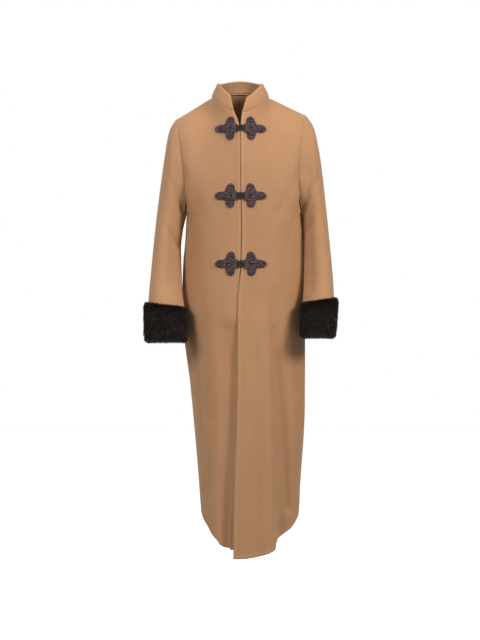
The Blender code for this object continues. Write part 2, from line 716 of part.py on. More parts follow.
def face_finder(rows):
    """Finds the outer face of a front under a point given by x and z."""
    points = [point for row in rows for point in row]
    width = len(rows[0])
    quads = [(i * width + j, i * width + j + 1, (i + 1) * width + j + 1, (i + 1) * width + j)
             for i in range(len(rows) - 1) for j in range(width - 1)]
    tree = BVHTree.FromPolygons(points, quads)

    def find(x, z):
        place, normal, _, _ = tree.ray_cast(Vector((x, FAR_FRONT_Y, z)), Vector((0.0, 1.0, 0.0)))
        if place is None:
            place, normal, _, _ = tree.find_nearest(Vector((x, OPENING[0]["front"], z)))
        return place, (normal if normal.y < 0 else -normal)
    return find


def leaf_radius(angle):
    """Outline of the leaf at an angle from its outward lobe, the same up and down."""
    angle = abs((angle + 180.0) % 360.0 - 180.0)
    for low, high in zip(LEAF_OUTLINE, LEAF_OUTLINE[1:]):
        if angle <= high["angle"]:
            t = smooth((angle - low["angle"]) / (high["angle"] - low["angle"]))
            return low["radius"] + (high["radius"] - low["radius"]) * t
    return LEAF_OUTLINE[-1]["radius"]


def make_leaf(name, find, centre, height, sign):
    """One half of a frog: a three lobed braided leaf that lies on its front."""
    bm = bmesh.new()
    loops = {"top": [], "base": []}

    def place(angle, fraction, lift):
        radius = leaf_radius(angle) * fraction
        x = centre + sign * (LEAF_MIDDLE + radius * math.cos(math.radians(angle)))
        spot, normal = find(x, height + radius * math.sin(math.radians(angle)))
        return bm.verts.new(spot + normal * (LEAF_STANDOFF + lift))

    angles = [360.0 * step / LEAF_STEPS for step in range(LEAF_STEPS)]
    for fraction, lift in zip(LEAF_RINGS, LEAF_HEIGHTS):
        rim = fraction == LEAF_RINGS[-1]
        plait = [0.0 if rim else LEAF_PLAIT * (-1) ** (step + LEAF_RINGS.index(fraction))
                 for step in range(LEAF_STEPS)]
        loops["top"].append([place(a, fraction, lift + p) for a, p in zip(angles, plait)])
        loops["base"].append([place(a, fraction, 0.0) for a in angles])
    for level, hub_lift in (("top", LEAF_HEIGHTS[0]), ("base", 0.0)):
        hub = place(0.0, 0.0, hub_lift)
        rings = loops[level]
        for j in range(LEAF_STEPS):
            k = (j + 1) % LEAF_STEPS
            bm.faces.new((hub, rings[0][j], rings[0][k]))
            for inner, outer in zip(rings, rings[1:]):
                bm.faces.new((inner[j], outer[j], outer[k], inner[k]))
    for j in range(LEAF_STEPS):
        k = (j + 1) % LEAF_STEPS
        bm.faces.new((loops["top"][-1][j], loops["base"][-1][j], loops["base"][-1][k], loops["top"][-1][k]))
    return new_object(name, bm, BRAID, TRIM_ROUGHNESS)


def make_fastening(number, finders, centre, height):
    """The cord loop of one half and the knotted button that it holds."""
    spot, normal = finders["left"](centre + EDGE_STEP, height)
    out = Vector((0.0, normal.y, normal.z)).normalized()
    across = Vector((1.0, 0.0, 0.0))
    up = out.cross(across)
    seat = Vector((centre, spot.y, spot.z))
    turns = [2 * math.pi * step / LOOP_STEPS for step in range(LOOP_STEPS)]
    ways = [across * math.cos(turn) + up * math.sin(turn) for turn in turns]
    under = []
    for way in ways:
        foot = seat + way * LOOP_RADIUS
        under.append(finders["left" if way.x > 0.0 else "right"](foot.x, foot.z)[0])
    rise = max((place - seat).dot(out) for place in under)
    middle = seat + out * (rise + LOOP_CORD + LEAF_STANDOFF)
    bm = bmesh.new()
    rings = []
    for away in ways:
        ring = []
        for side in range(LOOP_SIDES):
            a = 2 * math.pi * side / LOOP_SIDES
            offset = away * (LOOP_RADIUS + LOOP_CORD * math.cos(a)) + out * LOOP_CORD * math.sin(a)
            ring.append(bm.verts.new(middle + offset))
        rings.append(ring)
    for i in range(LOOP_STEPS):
        after = rings[(i + 1) % LOOP_STEPS]
        for j in range(LOOP_SIDES):
            k = (j + 1) % LOOP_SIDES
            bm.faces.new((rings[i][j], rings[i][k], after[k], after[j]))
    new_object(f"frog_{number}_loop", bm, BRAID, TRIM_ROUGHNESS)
    bm = bmesh.new()
    bmesh.ops.create_icosphere(bm, subdivisions=2, radius=BUTTON_RADIUS)
    for vert in bm.verts:
        place = vert.co.copy()
        vert.co = middle + out * (BUTTON_LIFT - place.y * BUTTON_FLATNESS) + across * place.x + up * place.z
    new_object(f"frog_{number}_button", bm, BRAID, TRIM_ROUGHNESS)


def main():
    for old in list(bpy.data.objects):
        bpy.data.objects.remove(old, do_unlink=True)
    rows = make_body()
    for side in ("left", "right"):
        rings, normals = make_sleeve(side)
        make_cuff(side, rings, normals)
    make_collar()
    finders = {"left": face_finder(rows["front_left"]), "right": face_finder(rows["front_right"])}
    for number, (centre, height) in enumerate(zip(FROG_CENTRES, FROG_HEIGHTS), start=1):
        make_leaf(f"frog_{number}_left", finders["left"], centre, height, 1.0)
        make_leaf(f"frog_{number}_right", finders["right"], centre, height, -1.0)
        make_fastening(number, finders, centre, height)


main()
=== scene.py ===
"""Looks of the long coat: camel wool shells, fur cuffs and braided frogs.

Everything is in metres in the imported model's own frame: the front faces -Y,
the wearer's left is +X, and the origin is at the height of the neck points.
"""
import math

import bmesh
import bpy
import numpy
from mathutils import Matrix, Vector
from mathutils.bvhtree import BVHTree
from mathutils.kdtree import KDTree


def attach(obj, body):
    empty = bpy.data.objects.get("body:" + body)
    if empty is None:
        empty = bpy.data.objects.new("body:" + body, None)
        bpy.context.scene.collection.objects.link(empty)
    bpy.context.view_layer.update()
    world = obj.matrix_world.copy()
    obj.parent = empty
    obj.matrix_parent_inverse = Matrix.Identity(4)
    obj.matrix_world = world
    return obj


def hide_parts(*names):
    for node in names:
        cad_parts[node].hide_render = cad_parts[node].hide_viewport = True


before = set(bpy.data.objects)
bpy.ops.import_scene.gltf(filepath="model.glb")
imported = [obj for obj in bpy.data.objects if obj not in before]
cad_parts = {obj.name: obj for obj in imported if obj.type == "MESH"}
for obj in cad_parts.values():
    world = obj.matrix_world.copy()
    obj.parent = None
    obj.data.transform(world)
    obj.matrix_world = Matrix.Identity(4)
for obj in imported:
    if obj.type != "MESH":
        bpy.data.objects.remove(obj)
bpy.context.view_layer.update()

# The photograph's view: its pixels, metres a pixel, the coat's middle and neck, and the camera
PHOTO_WIDTH, PHOTO_HEIGHT = 480, 640
SCALE = 0.00282
CENTRE_PIXEL = 240.5
NECK_PIXEL = 97.0
CAMERA_DISTANCE = 3.6
SENSOR = 36.0
FLOOR_DROP = 0.150

# Both sides of the wearer, and which way each lies along X
SIDES = {"left": 1.0, "right": -1.0}

# Cloth and seams
CLOTH = 0.0025
COLLAR_CLOTH = 0.004
SEAM_GAP = 0.0003
HEM_STEP = 0.0009

# Heights of the main lines
UNDERARM_Z = -0.335
HEM_LOWEST_Z = -1.280
HEM_FRONT_Z = {"left": -1.280, "right": -1.256}
HEM_SIDE_Z = {"left": -1.180, "right": -1.125}
HEM_BACK_Z = -1.272
HEM_CURVE = 3.0
SIDE_ANGLE_ROOM = 0.001

# Grid of the panels
FRONT_COLUMNS = 14
NECK_COLUMNS = 6
YOKE_ROWS = 10
SKIRT_HEIGHTS = (-1.280, -1.250, -1.190, -1.115, -1.040, -0.960, -0.880, -0.800,
                 -0.720, -0.650, -0.590, -0.545, -0.515, -0.485, -0.435, -0.385, -0.335)

# The chest and shoulder cloth settles into an even curve above this row
FIRST_EASED_ROW = 14
EASE_TURNS = 150
EASE_STEP = 0.028
HELD_COLUMNS = 3

# The right front's tuck under the left one: how far before the edge it starts, and its slopes
TUCK_START = 0.0018
TUCK_RISE = 0.0011
TUCK_REACH = 0.030
TUCK_FADE = 0.026

# Body sections: height, wearer's right side, wearer's left side, depth of the back
BODY = (
    {"z": -1.280, "right": -0.106, "left": 0.158, "back": 0.126},
    {"z": -1.100, "right": -0.116, "left": 0.165, "back": 0.126},
    {"z": -0.920, "right": -0.131, "left": 0.179, "back": 0.124},
    {"z": -0.780, "right": -0.145, "left": 0.182, "back": 0.122},
    {"z": -0.660, "right": -0.161, "left": 0.182, "back": 0.122},
    {"z": -0.500, "right": -0.160, "left": 0.179, "back": 0.115},
    {"z": -0.335, "right": -0.152, "left": 0.171, "back": 0.108},
)

# Front line: height, middle of the front, both edges, depth of the front
OPENING = (
    {"z": -1.280, "middle": -0.020, "left_edge": -0.0200, "right_edge": -0.0070, "front": -0.130},
    {"z": -1.100, "middle": -0.017, "left_edge": -0.0170, "right_edge": -0.0040, "front": -0.130},
    {"z": -0.920, "middle": -0.011, "left_edge": -0.0110, "right_edge": 0.0020, "front": -0.130},
    {"z": -0.780, "middle": -0.008, "left_edge": -0.0080, "right_edge": 0.0050, "front": -0.129},
    {"z": -0.590, "middle": -0.008, "left_edge": -0.0080, "right_edge": 0.0030, "front": -0.128},
    {"z": -0.545, "middle": -0.006, "left_edge": -0.0050, "right_edge": 0.0000, "front": -0.127},
    {"z": -0.515, "middle": -0.003, "left_edge": -0.0015, "right_edge": -0.0021, "front": -0.127},
    {"z": -0.485, "middle": 0.000, "left_edge": 0.0015, "right_edge": -0.0003, "front": -0.126},
    {"z": -0.385, "middle": 0.002, "left_edge": 0.0035, "right_edge": 0.0017, "front": -0.124},
    {"z": -0.335, "middle": 0.002, "left_edge": 0.0028, "right_edge": 0.0012, "front": -0.123},
    {"z": -0.250, "middle": 0.000, "left_edge": 0.0008, "right_edge": -0.0008, "front": -0.122},
    {"z": -0.150, "middle": 0.000, "left_edge": 0.0006, "right_edge": -0.0010, "front": -0.112},
    {"z": -0.104, "middle": 0.000, "left_edge": 0.0008, "right_edge": -0.0014, "front": -0.103},
    {"z": -0.080, "middle": 0.000, "left_edge": 0.0010, "right_edge": -0.0060, "front": -0.095},
    {"z": -0.057, "middle": 0.000, "left_edge": 0.0040, "right_edge": -0.0180, "front": -0.086},
)

# Centre back line: height and depth
BACK_LINE = (
    {"z": -0.335, "back": 0.108},
    {"z": -0.220, "back": 0.112},
    {"z": -0.120, "back": 0.104},
    {"z": -0.040, "back": 0.086},
    {"z": 0.020, "back": 0.064},
)

# Rings of the neckline seam and of the collar's top edge
NECKLINE = {"right": -0.082, "left": 0.081, "front": -0.086, "back": 0.064,
            "z_front": -0.057, "z_side": -0.003, "z_back": 0.020}
COLLAR_TOP = {"right": -0.063, "left": 0.061, "front": -0.080, "back": 0.054,
              "z_front": -0.018, "z_side": 0.037, "z_back": 0.053}
COLLAR_FOOT_ENDS = {"left": 0.0040, "right": -0.0180}
COLLAR_TOP_ENDS = {"left": 0.0170, "right": -0.0280}
COLLAR_ROWS = 3
COLLAR_BULGE = 0.002
COLLAR_LIFT = 0.0013

# Armhole seams: shoulder tip, front, underarm and back points
ARMHOLES = {
    "left": {"tip": (0.184, 0.004, -0.051), "front": (0.164, -0.062, -0.200),
             "under": (0.171, 0.000, -0.335), "back": (0.169, 0.066, -0.200)},
    "right": {"tip": (-0.183, 0.004, -0.064), "front": (-0.160, -0.062, -0.205),
              "under": (-0.152, 0.000, -0.335), "back": (-0.160, 0.066, -0.205)},
}

# Sleeve rings below the armhole: outer line, inner line, middle depth and half depth
SLEEVES = {
    "left": (
        {"out": (0.2065, -0.087), "in": (0.1750, -0.352), "mid": 0.001, "deep": 0.063},
        {"out": (0.2205, -0.148), "in": (0.1770, -0.368), "mid": -0.001, "deep": 0.062},
        {"out": (0.229, -0.205), "in": (0.1785, -0.392), "mid": -0.003, "deep": 0.061},
        {"out": (0.236, -0.270), "in": (0.1795, -0.425), "mid": -0.008, "deep": 0.060},
        {"out": (0.243, -0.340), "in": (0.1805, -0.462), "mid": -0.017, "deep": 0.059},
        {"out": (0.249, -0.410), "in": (0.1810, -0.498), "mid": -0.030, "deep": 0.057},
        {"out": (0.254, -0.475), "in": (0.1805, -0.532), "mid": -0.047, "deep": 0.055},
        {"out": (0.257, -0.530), "in": (0.1785, -0.562), "mid": -0.066, "deep": 0.053},
        {"out": (0.257, -0.575), "in": (0.1760, -0.588), "mid": -0.084, "deep": 0.050},
        {"out": (0.254, -0.620), "in": (0.174, -0.626), "mid": -0.098, "deep": 0.049},
        {"out": (0.250, -0.663), "in": (0.174, -0.663), "mid": -0.106, "deep": 0.048},
    ),
    "right": (
        {"out": (-0.2015, -0.100), "in": (-0.157, -0.352), "mid": 0.001, "deep": 0.063},
        {"out": (-0.213, -0.165), "in": (-0.161, -0.370), "mid": -0.001, "deep": 0.062},
        {"out": (-0.222, -0.228), "in": (-0.165, -0.396), "mid": -0.003, "deep": 0.061},
        {"out": (-0.230, -0.292), "in": (-0.168, -0.428), "mid": -0.008, "deep": 0.060},
        {"out": (-0.237, -0.355), "in": (-0.169, -0.463), "mid": -0.017, "deep": 0.059},
        {"out": (-0.243, -0.420), "in": (-0.168, -0.500), "mid": -0.030, "deep": 0.057},
        {"out": (-0.248, -0.485), "in": (-0.167, -0.540), "mid": -0.047, "deep": 0.056},
        {"out": (-0.252, -0.540), "in": (-0.164, -0.572), "mid": -0.066, "deep": 0.054},
        {"out": (-0.254, -0.588), "in": (-0.160, -0.600), "mid": -0.084, "deep": 0.052},
        {"out": (-0.254, -0.632), "in": (-0.156, -0.638), "mid": -0.098, "deep": 0.051},
        {"out": (-0.252, -0.675), "in": (-0.156, -0.675), "mid": -0.106, "deep": 0.050},
    ),
}

# Folds of the body, by angle from the front middle (degrees, + to the wearer's left)
BODY_FOLD_RADIUS = 0.150
BODY_FOLDS = (
    {"name": "left ridge", "top": (21.0, -0.640), "foot": (33.0, -1.300),
     "width": 0.020, "start": 0.005, "end": 0.012},
    {"name": "left trough", "top": (35.0, -0.600), "foot": (52.0, -1.250),
     "width": 0.024, "start": -0.008, "end": -0.020},
    {"name": "opening trough", "top": (-9.0, -0.700), "foot": (-19.0, -1.300),
     "width": 0.015, "start": -0.005, "end": -0.014},
    {"name": "right ridge", "top": (-52.0, -0.640), "foot": (-60.0, -1.250),
     "width": 0.036, "start": 0.002, "end": 0.009},
    {"name": "left side ridge", "top": (84.0, -0.800), "foot": (88.0, -1.150),
     "width": 0.030, "start": 0.000, "end": 0.004},
    {"name": "back left trough", "top": (136.0, -0.560), "foot": (128.0, -1.250),
     "width": 0.030, "start": -0.003, "end": -0.017},
    {"name": "back left ridge", "top": (158.0, -0.620), "foot": (155.0, -1.300),
     "width": 0.028, "start": 0.002, "end": 0.012},
    {"name": "back middle trough", "top": (178.0, -0.480), "foot": (183.0, -1.300),
     "width": 0.026, "start": -0.003, "end": -0.013},
    {"name": "back right ridge", "top": (208.0, -0.560), "foot": (212.0, -1.280),
     "width": 0.028, "start": 0.002, "end": 0.012},
    {"name": "back right trough", "top": (228.0, -0.640), "foot": (238.0, -1.220),
     "width": 0.028, "start": -0.003, "end": -0.015},
)

# Folds of the sleeves: 0 outer, 90 front, 180 inner, 270 back; height along the sleeve
SLEEVE_FOLD_RADIUS = 0.055
SLEEVE_FOLDS = {
    "left": (
        {"name": "upper drag", "top": (52.0, -0.165), "foot": (150.0, -0.300),
         "width": 0.013, "start": -0.001, "end": -0.005},
        {"name": "elbow drag", "top": (70.0, -0.290), "foot": (160.0, -0.380),
         "width": 0.014, "start": -0.002, "end": -0.006},
        {"name": "inner hollow", "top": (138.0, -0.340), "foot": (128.0, -0.540),
         "width": 0.016, "start": -0.003, "end": -0.004},
        {"name": "back drag", "top": (300.0, -0.260), "foot": (215.0, -0.400),
         "width": 0.015, "start": -0.002, "end": -0.006},
    ),
    "right": (
        {"name": "front hollow", "top": (112.0, -0.240), "foot": (118.0, -0.520),
         "width": 0.020, "start": -0.002, "end": -0.005},
        {"name": "elbow drag", "top": (62.0, -0.360), "foot": (130.0, -0.430),
         "width": 0.013, "start": -0.001, "end": -0.004},
        {"name": "back drag", "top": (292.0, -0.280), "foot": (212.0, -0.410),
         "width": 0.015, "start": -0.002, "end": -0.006},
    ),
}

# Fur cuffs, wrapped round the last rings of each sleeve
CUFF_RINGS = 3
CUFF_GAP = 0.0007
FUR_REACH = 0.015
FUR_TOP_LIFT = 0.006
FUR_FOOT_DROP = 0.012
CUFF_PROFILE = (
    {"along": 0.00, "reach": 0.35},
    {"along": 0.07, "reach": 0.82},
    {"along": 0.30, "reach": 1.00},
    {"along": 0.65, "reach": 1.00},
    {"along": 0.93, "reach": 0.85},
    {"along": 1.00, "reach": 0.40},
)

# Frogs: heights of the three pairs, and the leaf outline round its own middle
FROG_HEIGHTS = (-0.1025, -0.2900, -0.4760)
FROG_CENTRES = (0.000, 0.000, 0.001)
LEAF_MIDDLE = 0.031
LEAF_OUTLINE = (
    {"angle": 0.0, "radius": 0.0360},
    {"angle": 14.0, "radius": 0.0325},
    {"angle": 32.0, "radius": 0.0215},
    {"angle": 48.0, "radius": 0.0185},
    {"angle": 66.0, "radius": 0.0225},
    {"angle": 84.0, "radius": 0.0295},
    {"angle": 100.0, "radius": 0.0325},
    {"angle": 114.0, "radius": 0.0285},
    {"angle": 132.0, "radius": 0.0215},
    {"angle": 156.0, "radius": 0.0190},
    {"angle": 180.0, "radius": 0.0185},
)
LEAF_STANDOFF = 0.0006
LOOP_RADIUS = 0.0082
LOOP_CORD = 0.0022
LOOP_STEPS = 16
EDGE_STEP = 0.004
BUTTON_RADIUS = 0.0059
BUTTON_FLATNESS = 0.62
BUTTON_LIFT = 0.0017

# Fine creases of the body, by angle from the front middle and height
BODY_CREASES = (
    {"name": "left chest drag", "top": (62.0, -0.215), "foot": (40.0, -0.330),
     "width": 0.014, "start": -0.0010, "end": -0.0022},
    {"name": "left underarm drag", "top": (70.0, -0.300), "foot": (48.0, -0.430),
     "width": 0.012, "start": -0.0022, "end": -0.0008},
    {"name": "right chest drag", "top": (-60.0, -0.225), "foot": (-38.0, -0.350),
     "width": 0.015, "start": -0.0018, "end": -0.0009},
    {"name": "right underarm drag", "top": (-70.0, -0.310), "foot": (-52.0, -0.470),
     "width": 0.013, "start": -0.0022, "end": -0.0008},
    {"name": "left hip soft fold", "top": (58.0, -0.520), "foot": (66.0, -0.820),
     "width": 0.020, "start": -0.0010, "end": -0.0032},
    {"name": "right hip soft fold", "top": (-40.0, -0.560), "foot": (-36.0, -0.900),
     "width": 0.018, "start": -0.0010, "end": -0.0026},
    {"name": "left ridge crest", "top": (24.0, -0.700), "foot": (33.0, -1.280),
     "width": 0.009, "start": 0.0010, "end": 0.0040},
    {"name": "left trough line", "top": (36.0, -0.660), "foot": (58.0, -1.150),
     "width": 0.013, "start": -0.0030, "end": -0.0085},
    {"name": "left side fullness", "top": (86.0, -0.380), "foot": (88.0, -0.620),
     "width": 0.028, "start": 0.0030, "end": 0.0045},
    {"name": "right side fullness", "top": (-88.0, -0.460), "foot": (-88.0, -0.640),
     "width": 0.030, "start": 0.0025, "end": 0.0050},
    {"name": "left skirt line", "top": (12.0, -0.900), "foot": (16.0, -1.270),
     "width": 0.012, "start": -0.0004, "end": -0.0026},
    {"name": "right skirt line", "top": (-34.0, -0.930), "foot": (-40.0, -1.240),
     "width": 0.013, "start": -0.0006, "end": -0.0030},
    {"name": "back left shoulder drag", "top": (148.0, -0.160), "foot": (128.0, -0.330),
     "width": 0.016, "start": -0.0008, "end": -0.0024},
    {"name": "back right shoulder drag", "top": (-146.0, -0.170), "foot": (-126.0, -0.340),
     "width": 0.015, "start": -0.0010, "end": -0.0022},
    {"name": "back left line", "top": (168.0, -0.700), "foot": (170.0, -1.260),
     "width": 0.014, "start": -0.0008, "end": -0.0030},
    {"name": "back right line", "top": (-165.0, -0.760), "foot": (-160.0, -1.250),
     "width": 0.013, "start": -0.0008, "end": -0.0026},
    {"name": "back waist drag", "top": (150.0, -0.420), "foot": (190.0, -0.470),
     "width": 0.014, "start": -0.0016, "end": -0.0006},
)

# The wearer's right front sinks away beside the left front's edge
UNDERLAP_CREASES = (
    {"name": "opening hollow", "top": (-10.0, -0.660), "foot": (-20.0, -1.290),
     "width": 0.024, "start": -0.0080, "end": -0.0110},
    {"name": "opening line", "top": (-5.0, -0.720), "foot": (-11.0, -1.290),
     "width": 0.013, "start": -0.0020, "end": -0.0050},
)

# Half the body's width and depth, for the angle at which a crease of its cloth lies
BODY_HALF_WIDTH = 0.165
BODY_HALF_DEPTH = 0.125

# Fine creases of the sleeves, by angle from the outer line and height
SLEEVE_CREASES = {
    "left": (
        {"name": "cap drag", "top": (50.0, -0.120), "foot": (96.0, -0.230),
         "width": 0.010, "start": -0.0008, "end": -0.0020},
        {"name": "upper pinch", "top": (60.0, -0.235), "foot": (140.0, -0.318),
         "width": 0.010, "start": -0.0015, "end": -0.0075},
        {"name": "elbow pinch", "top": (78.0, -0.335), "foot": (136.0, -0.378),
         "width": 0.010, "start": -0.0015, "end": -0.0070},
        {"name": "inner fullness", "top": (172.0, -0.370), "foot": (176.0, -0.600),
         "width": 0.028, "start": 0.0050, "end": 0.0050},
        {"name": "forearm drag", "top": (40.0, -0.440), "foot": (110.0, -0.500),
         "width": 0.010, "start": -0.0006, "end": -0.0018},
        {"name": "back elbow", "top": (310.0, -0.300), "foot": (222.0, -0.372),
         "width": 0.010, "start": -0.0012, "end": -0.0030},
        {"name": "back forearm", "top": (300.0, -0.430), "foot": (230.0, -0.480),
         "width": 0.011, "start": -0.0008, "end": -0.0020},
    ),
    "right": (
        {"name": "cap drag", "top": (52.0, -0.140), "foot": (98.0, -0.240),
         "width": 0.010, "start": -0.0008, "end": -0.0018},
        {"name": "upper pinch", "top": (66.0, -0.230), "foot": (140.0, -0.318),
         "width": 0.011, "start": -0.0010, "end": -0.0065},
        {"name": "elbow pinch", "top": (70.0, -0.365), "foot": (150.0, -0.420),
         "width": 0.010, "start": -0.0010, "end": -0.0060},
        {"name": "inner fullness", "top": (172.0, -0.460), "foot": (178.0, -0.610),
         "width": 0.028, "start": 0.0030, "end": 0.0065},
        {"name": "back elbow", "top": (306.0, -0.320), "foot": (220.0, -0.392),
         "width": 0.010, "start": -0.0012, "end": -0.0030},
        {"name": "back forearm", "top": (300.0, -0.450), "foot": (232.0, -0.500),
         "width": 0.011, "start": -0.0008, "end": -0.0020},
    ),
}

# Sewn and free edges: how deep a seam draws in, and how an opening or hem rolls and rounds off
SEAM_DEPTH = 0.0012
SEAM_WIDTH = 0.0030
ROLL_HEIGHT = 0.0009
ROLL_DISTANCE = 0.0055
ROLL_WIDTH = 0.0030
RIM_WIDTH = 0.0016
RIM_DROP = 0.0010
RIM_ROUND = 0.98

# The right front's edge doesn't roll where it lies under the left one, up to this height
UNDERLAP_TOP_Z = -0.54
UNDERLAP_FADE = 0.05

# The turned-in edge of a sleeve or collar, behind its seam
TURNING = 0.006
SEAM_ROOM = 0.0006

# How closely the shells are sampled, and the extra lines beside seams and free edges
COLUMN_STEP = 0.0027
ROW_STEP = 0.0062
SLEEVE_STEP = 0.0045
EDGE_STOPS = (0.0004, 0.0009, 0.0016, 0.0028, 0.0042, 0.0056, 0.0072)
SEAM_STOPS = (0.0010, 0.0024, 0.0042)
MERGE_DISTANCE = 0.000001

# Fur: the pelt's share of the reach and its parts between known points, and the grid of the hairs
PELT_SHARE = 0.55
PELT_SECTION_PARTS = 4
PELT_RING_PARTS = 6
FUR_END_ROOM = 0.004
FUR_ROWS = 60
FUR_COLUMNS = 240
FUR_SEEDS = {"left": 11, "right": 23}

# Hairs: how many, their size, how they scatter, and how strongly a clump draws their tips
HAIRS = 38000
CLUMPS = 2200
HAIR_LENGTH = 0.0125
HAIR_SHORTEST = 0.65
HAIR_RADIUS = 0.00042
ROOT_SCATTER = 0.0006
TIP_SCATTER = 0.0011
CLUMP_PULL = (0.25, 0.65)
TIP_TONE = (0.4, 1.0)

# A hair's three corners round its root, by angle, and its three faces: point 3 is the tip
HAIR_CORNERS = (0.0, 120.0, 240.0)
HAIR_FACES = ((0, 1, 3), (1, 2, 3), (2, 0, 3))

# Hairs stand a little upwards at the cuff's top rim, and lean down soon after it
LEAN_SLOPE = 3.2
LEAN_DELAY = 0.25
LEAN_LEAST = -0.15
HAIR_STAND = 0.78
STAND_LOSS = 0.26
HAIR_LIE = 0.80

# Lobes of a frog by direction and length, and their outline as shares of the widest place
LOBES = ((0.0, 0.0385), (101.0, 0.0335), (-97.0, 0.0325))
LOBE_START = 0.002
LOBE_WIDTH = 0.0106
LOBE_WIDEST = 0.42
LOBE_FOOT = 0.55
LOBE_SWELL = 0.45
LOBE_TAPER = 3.0
LOBE_ROUND = 0.6
LOBE_STEPS = 30

# Plaited strands of a lobe, the cord round its edge, and a near-black sheet of painted shade under it in
# rings by reach and lift
LOBE_TURNS = 2.0
STRANDS = 4
STRAND_END = 0.93
STRAND_SWING = 0.74
BRAID_RADIUS = 0.00112
BRAID_LIFT = 0.0036
BRAID_WAVE = 0.0012
EDGE_CORD_LIFT = 0.0017
SHADE_PAD_RINGS = ((0.05, 0.0024), (0.5, 0.0024), (0.86, 0.0022), (0.93, 0.0014), (0.94, 0.0004))
SHADE_PAD_STEPS = 48

# The flat band of upright cords, and the short cords that link it to the knot
BAND_CORDS = 5
BAND_START = 0.0118
BAND_STEP = 0.0024
BAND_RADIUS = 0.001344
BAND_HALF = 0.0132
BAND_LIFT = 0.0050
BAND_POINTS = 12
LINK_START = 0.0035
LINK_PLACES = (-0.0064, -0.0022, 0.0022, 0.0064)
LINK_LIFT = 0.0034
LINK_RADIUS = 0.0021
LINK_POINTS = 6

# The loop's twisted cords, the knot's coiled cord and the ball under it
ROPE_STRANDS = 2
ROPE_RADIUS = 0.00125
ROPE_STEPS = 120
ROPE_TURNS = 9
KNOT_STEPS = 120
KNOT_ROUNDS = 2
KNOT_BENDS = 1.5
KNOT_REACH = 0.0042
KNOT_SWING = 0.0022
KNOT_WIDE = 0.0082
KNOT_CROWN = 0.0030
KNOT_WAVE = 0.0010
KNOT_RADIUS = 0.0017
CORE_SHARE = 0.9

# A search for the cloth under the braid starts here, in front of the coat
FINDER_START_Y = -1.0

# Light and set
WORLD_LIGHT = 0.24
BACKDROP_LIGHT = 1.0
FLOOR_SIZE = 6.0
FLOOR_GLOW = 0.72
LAMPS = (
    {"name": "key", "place": (2.7, -2.6, 1.2), "target": (0.0, 0.0, -0.40), "size": 1.2,
     "power": 116.0, "colour": (1.0, 0.985, 0.96)},
    {"name": "fill", "place": (-2.3, -2.7, 0.9), "target": (0.0, 0.0, -0.35), "size": 1.4,
     "power": 68.0, "colour": (0.97, 0.98, 1.0)},
    {"name": "rim", "place": (-3.0, 0.7, -0.2), "target": (0.0, 0.0, -0.7), "size": 1.2,
     "power": 12.0, "colour": (1.0, 0.99, 0.98)},
    {"name": "top", "place": (0.1, -0.5, 2.2), "target": (0.0, 0.05, -0.2), "size": 1.0,
     "power": 20.0, "colour": (1.0, 1.0, 1.0)},
)

# Colours
CAMEL = (0.432, 0.222, 0.108, 1.0)
CAMEL_DEEP = (0.345, 0.172, 0.080, 1.0)
CAMEL_PALE = (0.520, 0.300, 0.160, 1.0)
FUR_DARK = (0.0062, 0.0030, 0.0026, 1.0)
FUR_TIP = (0.036, 0.015, 0.011, 1.0)
BRAID_DARK = (0.010, 0.004, 0.005, 1.0)
BRAID_LIGHT = (0.170, 0.098, 0.106, 1.0)
BAND_DARK = (0.032, 0.019, 0.019, 1.0)
BAND_LIGHT = (0.100, 0.070, 0.064, 1.0)
# The knot's near-black braid; the same finish also serves as painted shade under the lobes
KNOT_DARK = (0.006, 0.0035, 0.003, 1.0)
KNOT_LIGHT = (0.021, 0.012, 0.010, 1.0)
FLOOR_COLOUR = (0.90, 0.90, 0.90, 1.0)
WHITE = (1.0, 1.0, 1.0, 1.0)

# A point inside the coat's body, and the middle of its collar: outer faces point away from them
BODY_INSIDE = (0.01, 0.0, -0.6)
COLLAR_INSIDE = (0.0, 0.0, 0.0)


class Value:
    """A socket that can be used in sums, so that shader maths reads as Python."""

    def __init__(self, finish, socket):
        self.finish = finish
        self.socket = socket

    def __add__(self, other):
        return self.finish.maths("ADD", self, other)

    def __mul__(self, other):
        return self.finish.maths("MULTIPLY", self, other)

    __radd__ = __add__
    __rmul__ = __mul__


class Nodes:
    """The shader nodes of a material or of the world."""

    def __init__(self, tree):
        self.tree = tree

    def node(self, kind, settings=None, **sockets):
        """A new node: its type, its settings, and the values or links of its sockets."""
        made = self.tree.nodes.new(kind)
        for key, value in (settings or {}).items():
            setattr(made, key, value)
        for key, value in sockets.items():
            self.feed(made.inputs[key.replace("_", " ")], value)
        return made

    def feed(self, socket, value):
        """Link a value to a socket, or set it there when it is a plain number or colour."""
        if isinstance(value, Value):
            self.tree.links.new(value.socket, socket)
        else:
            socket.default_value = value


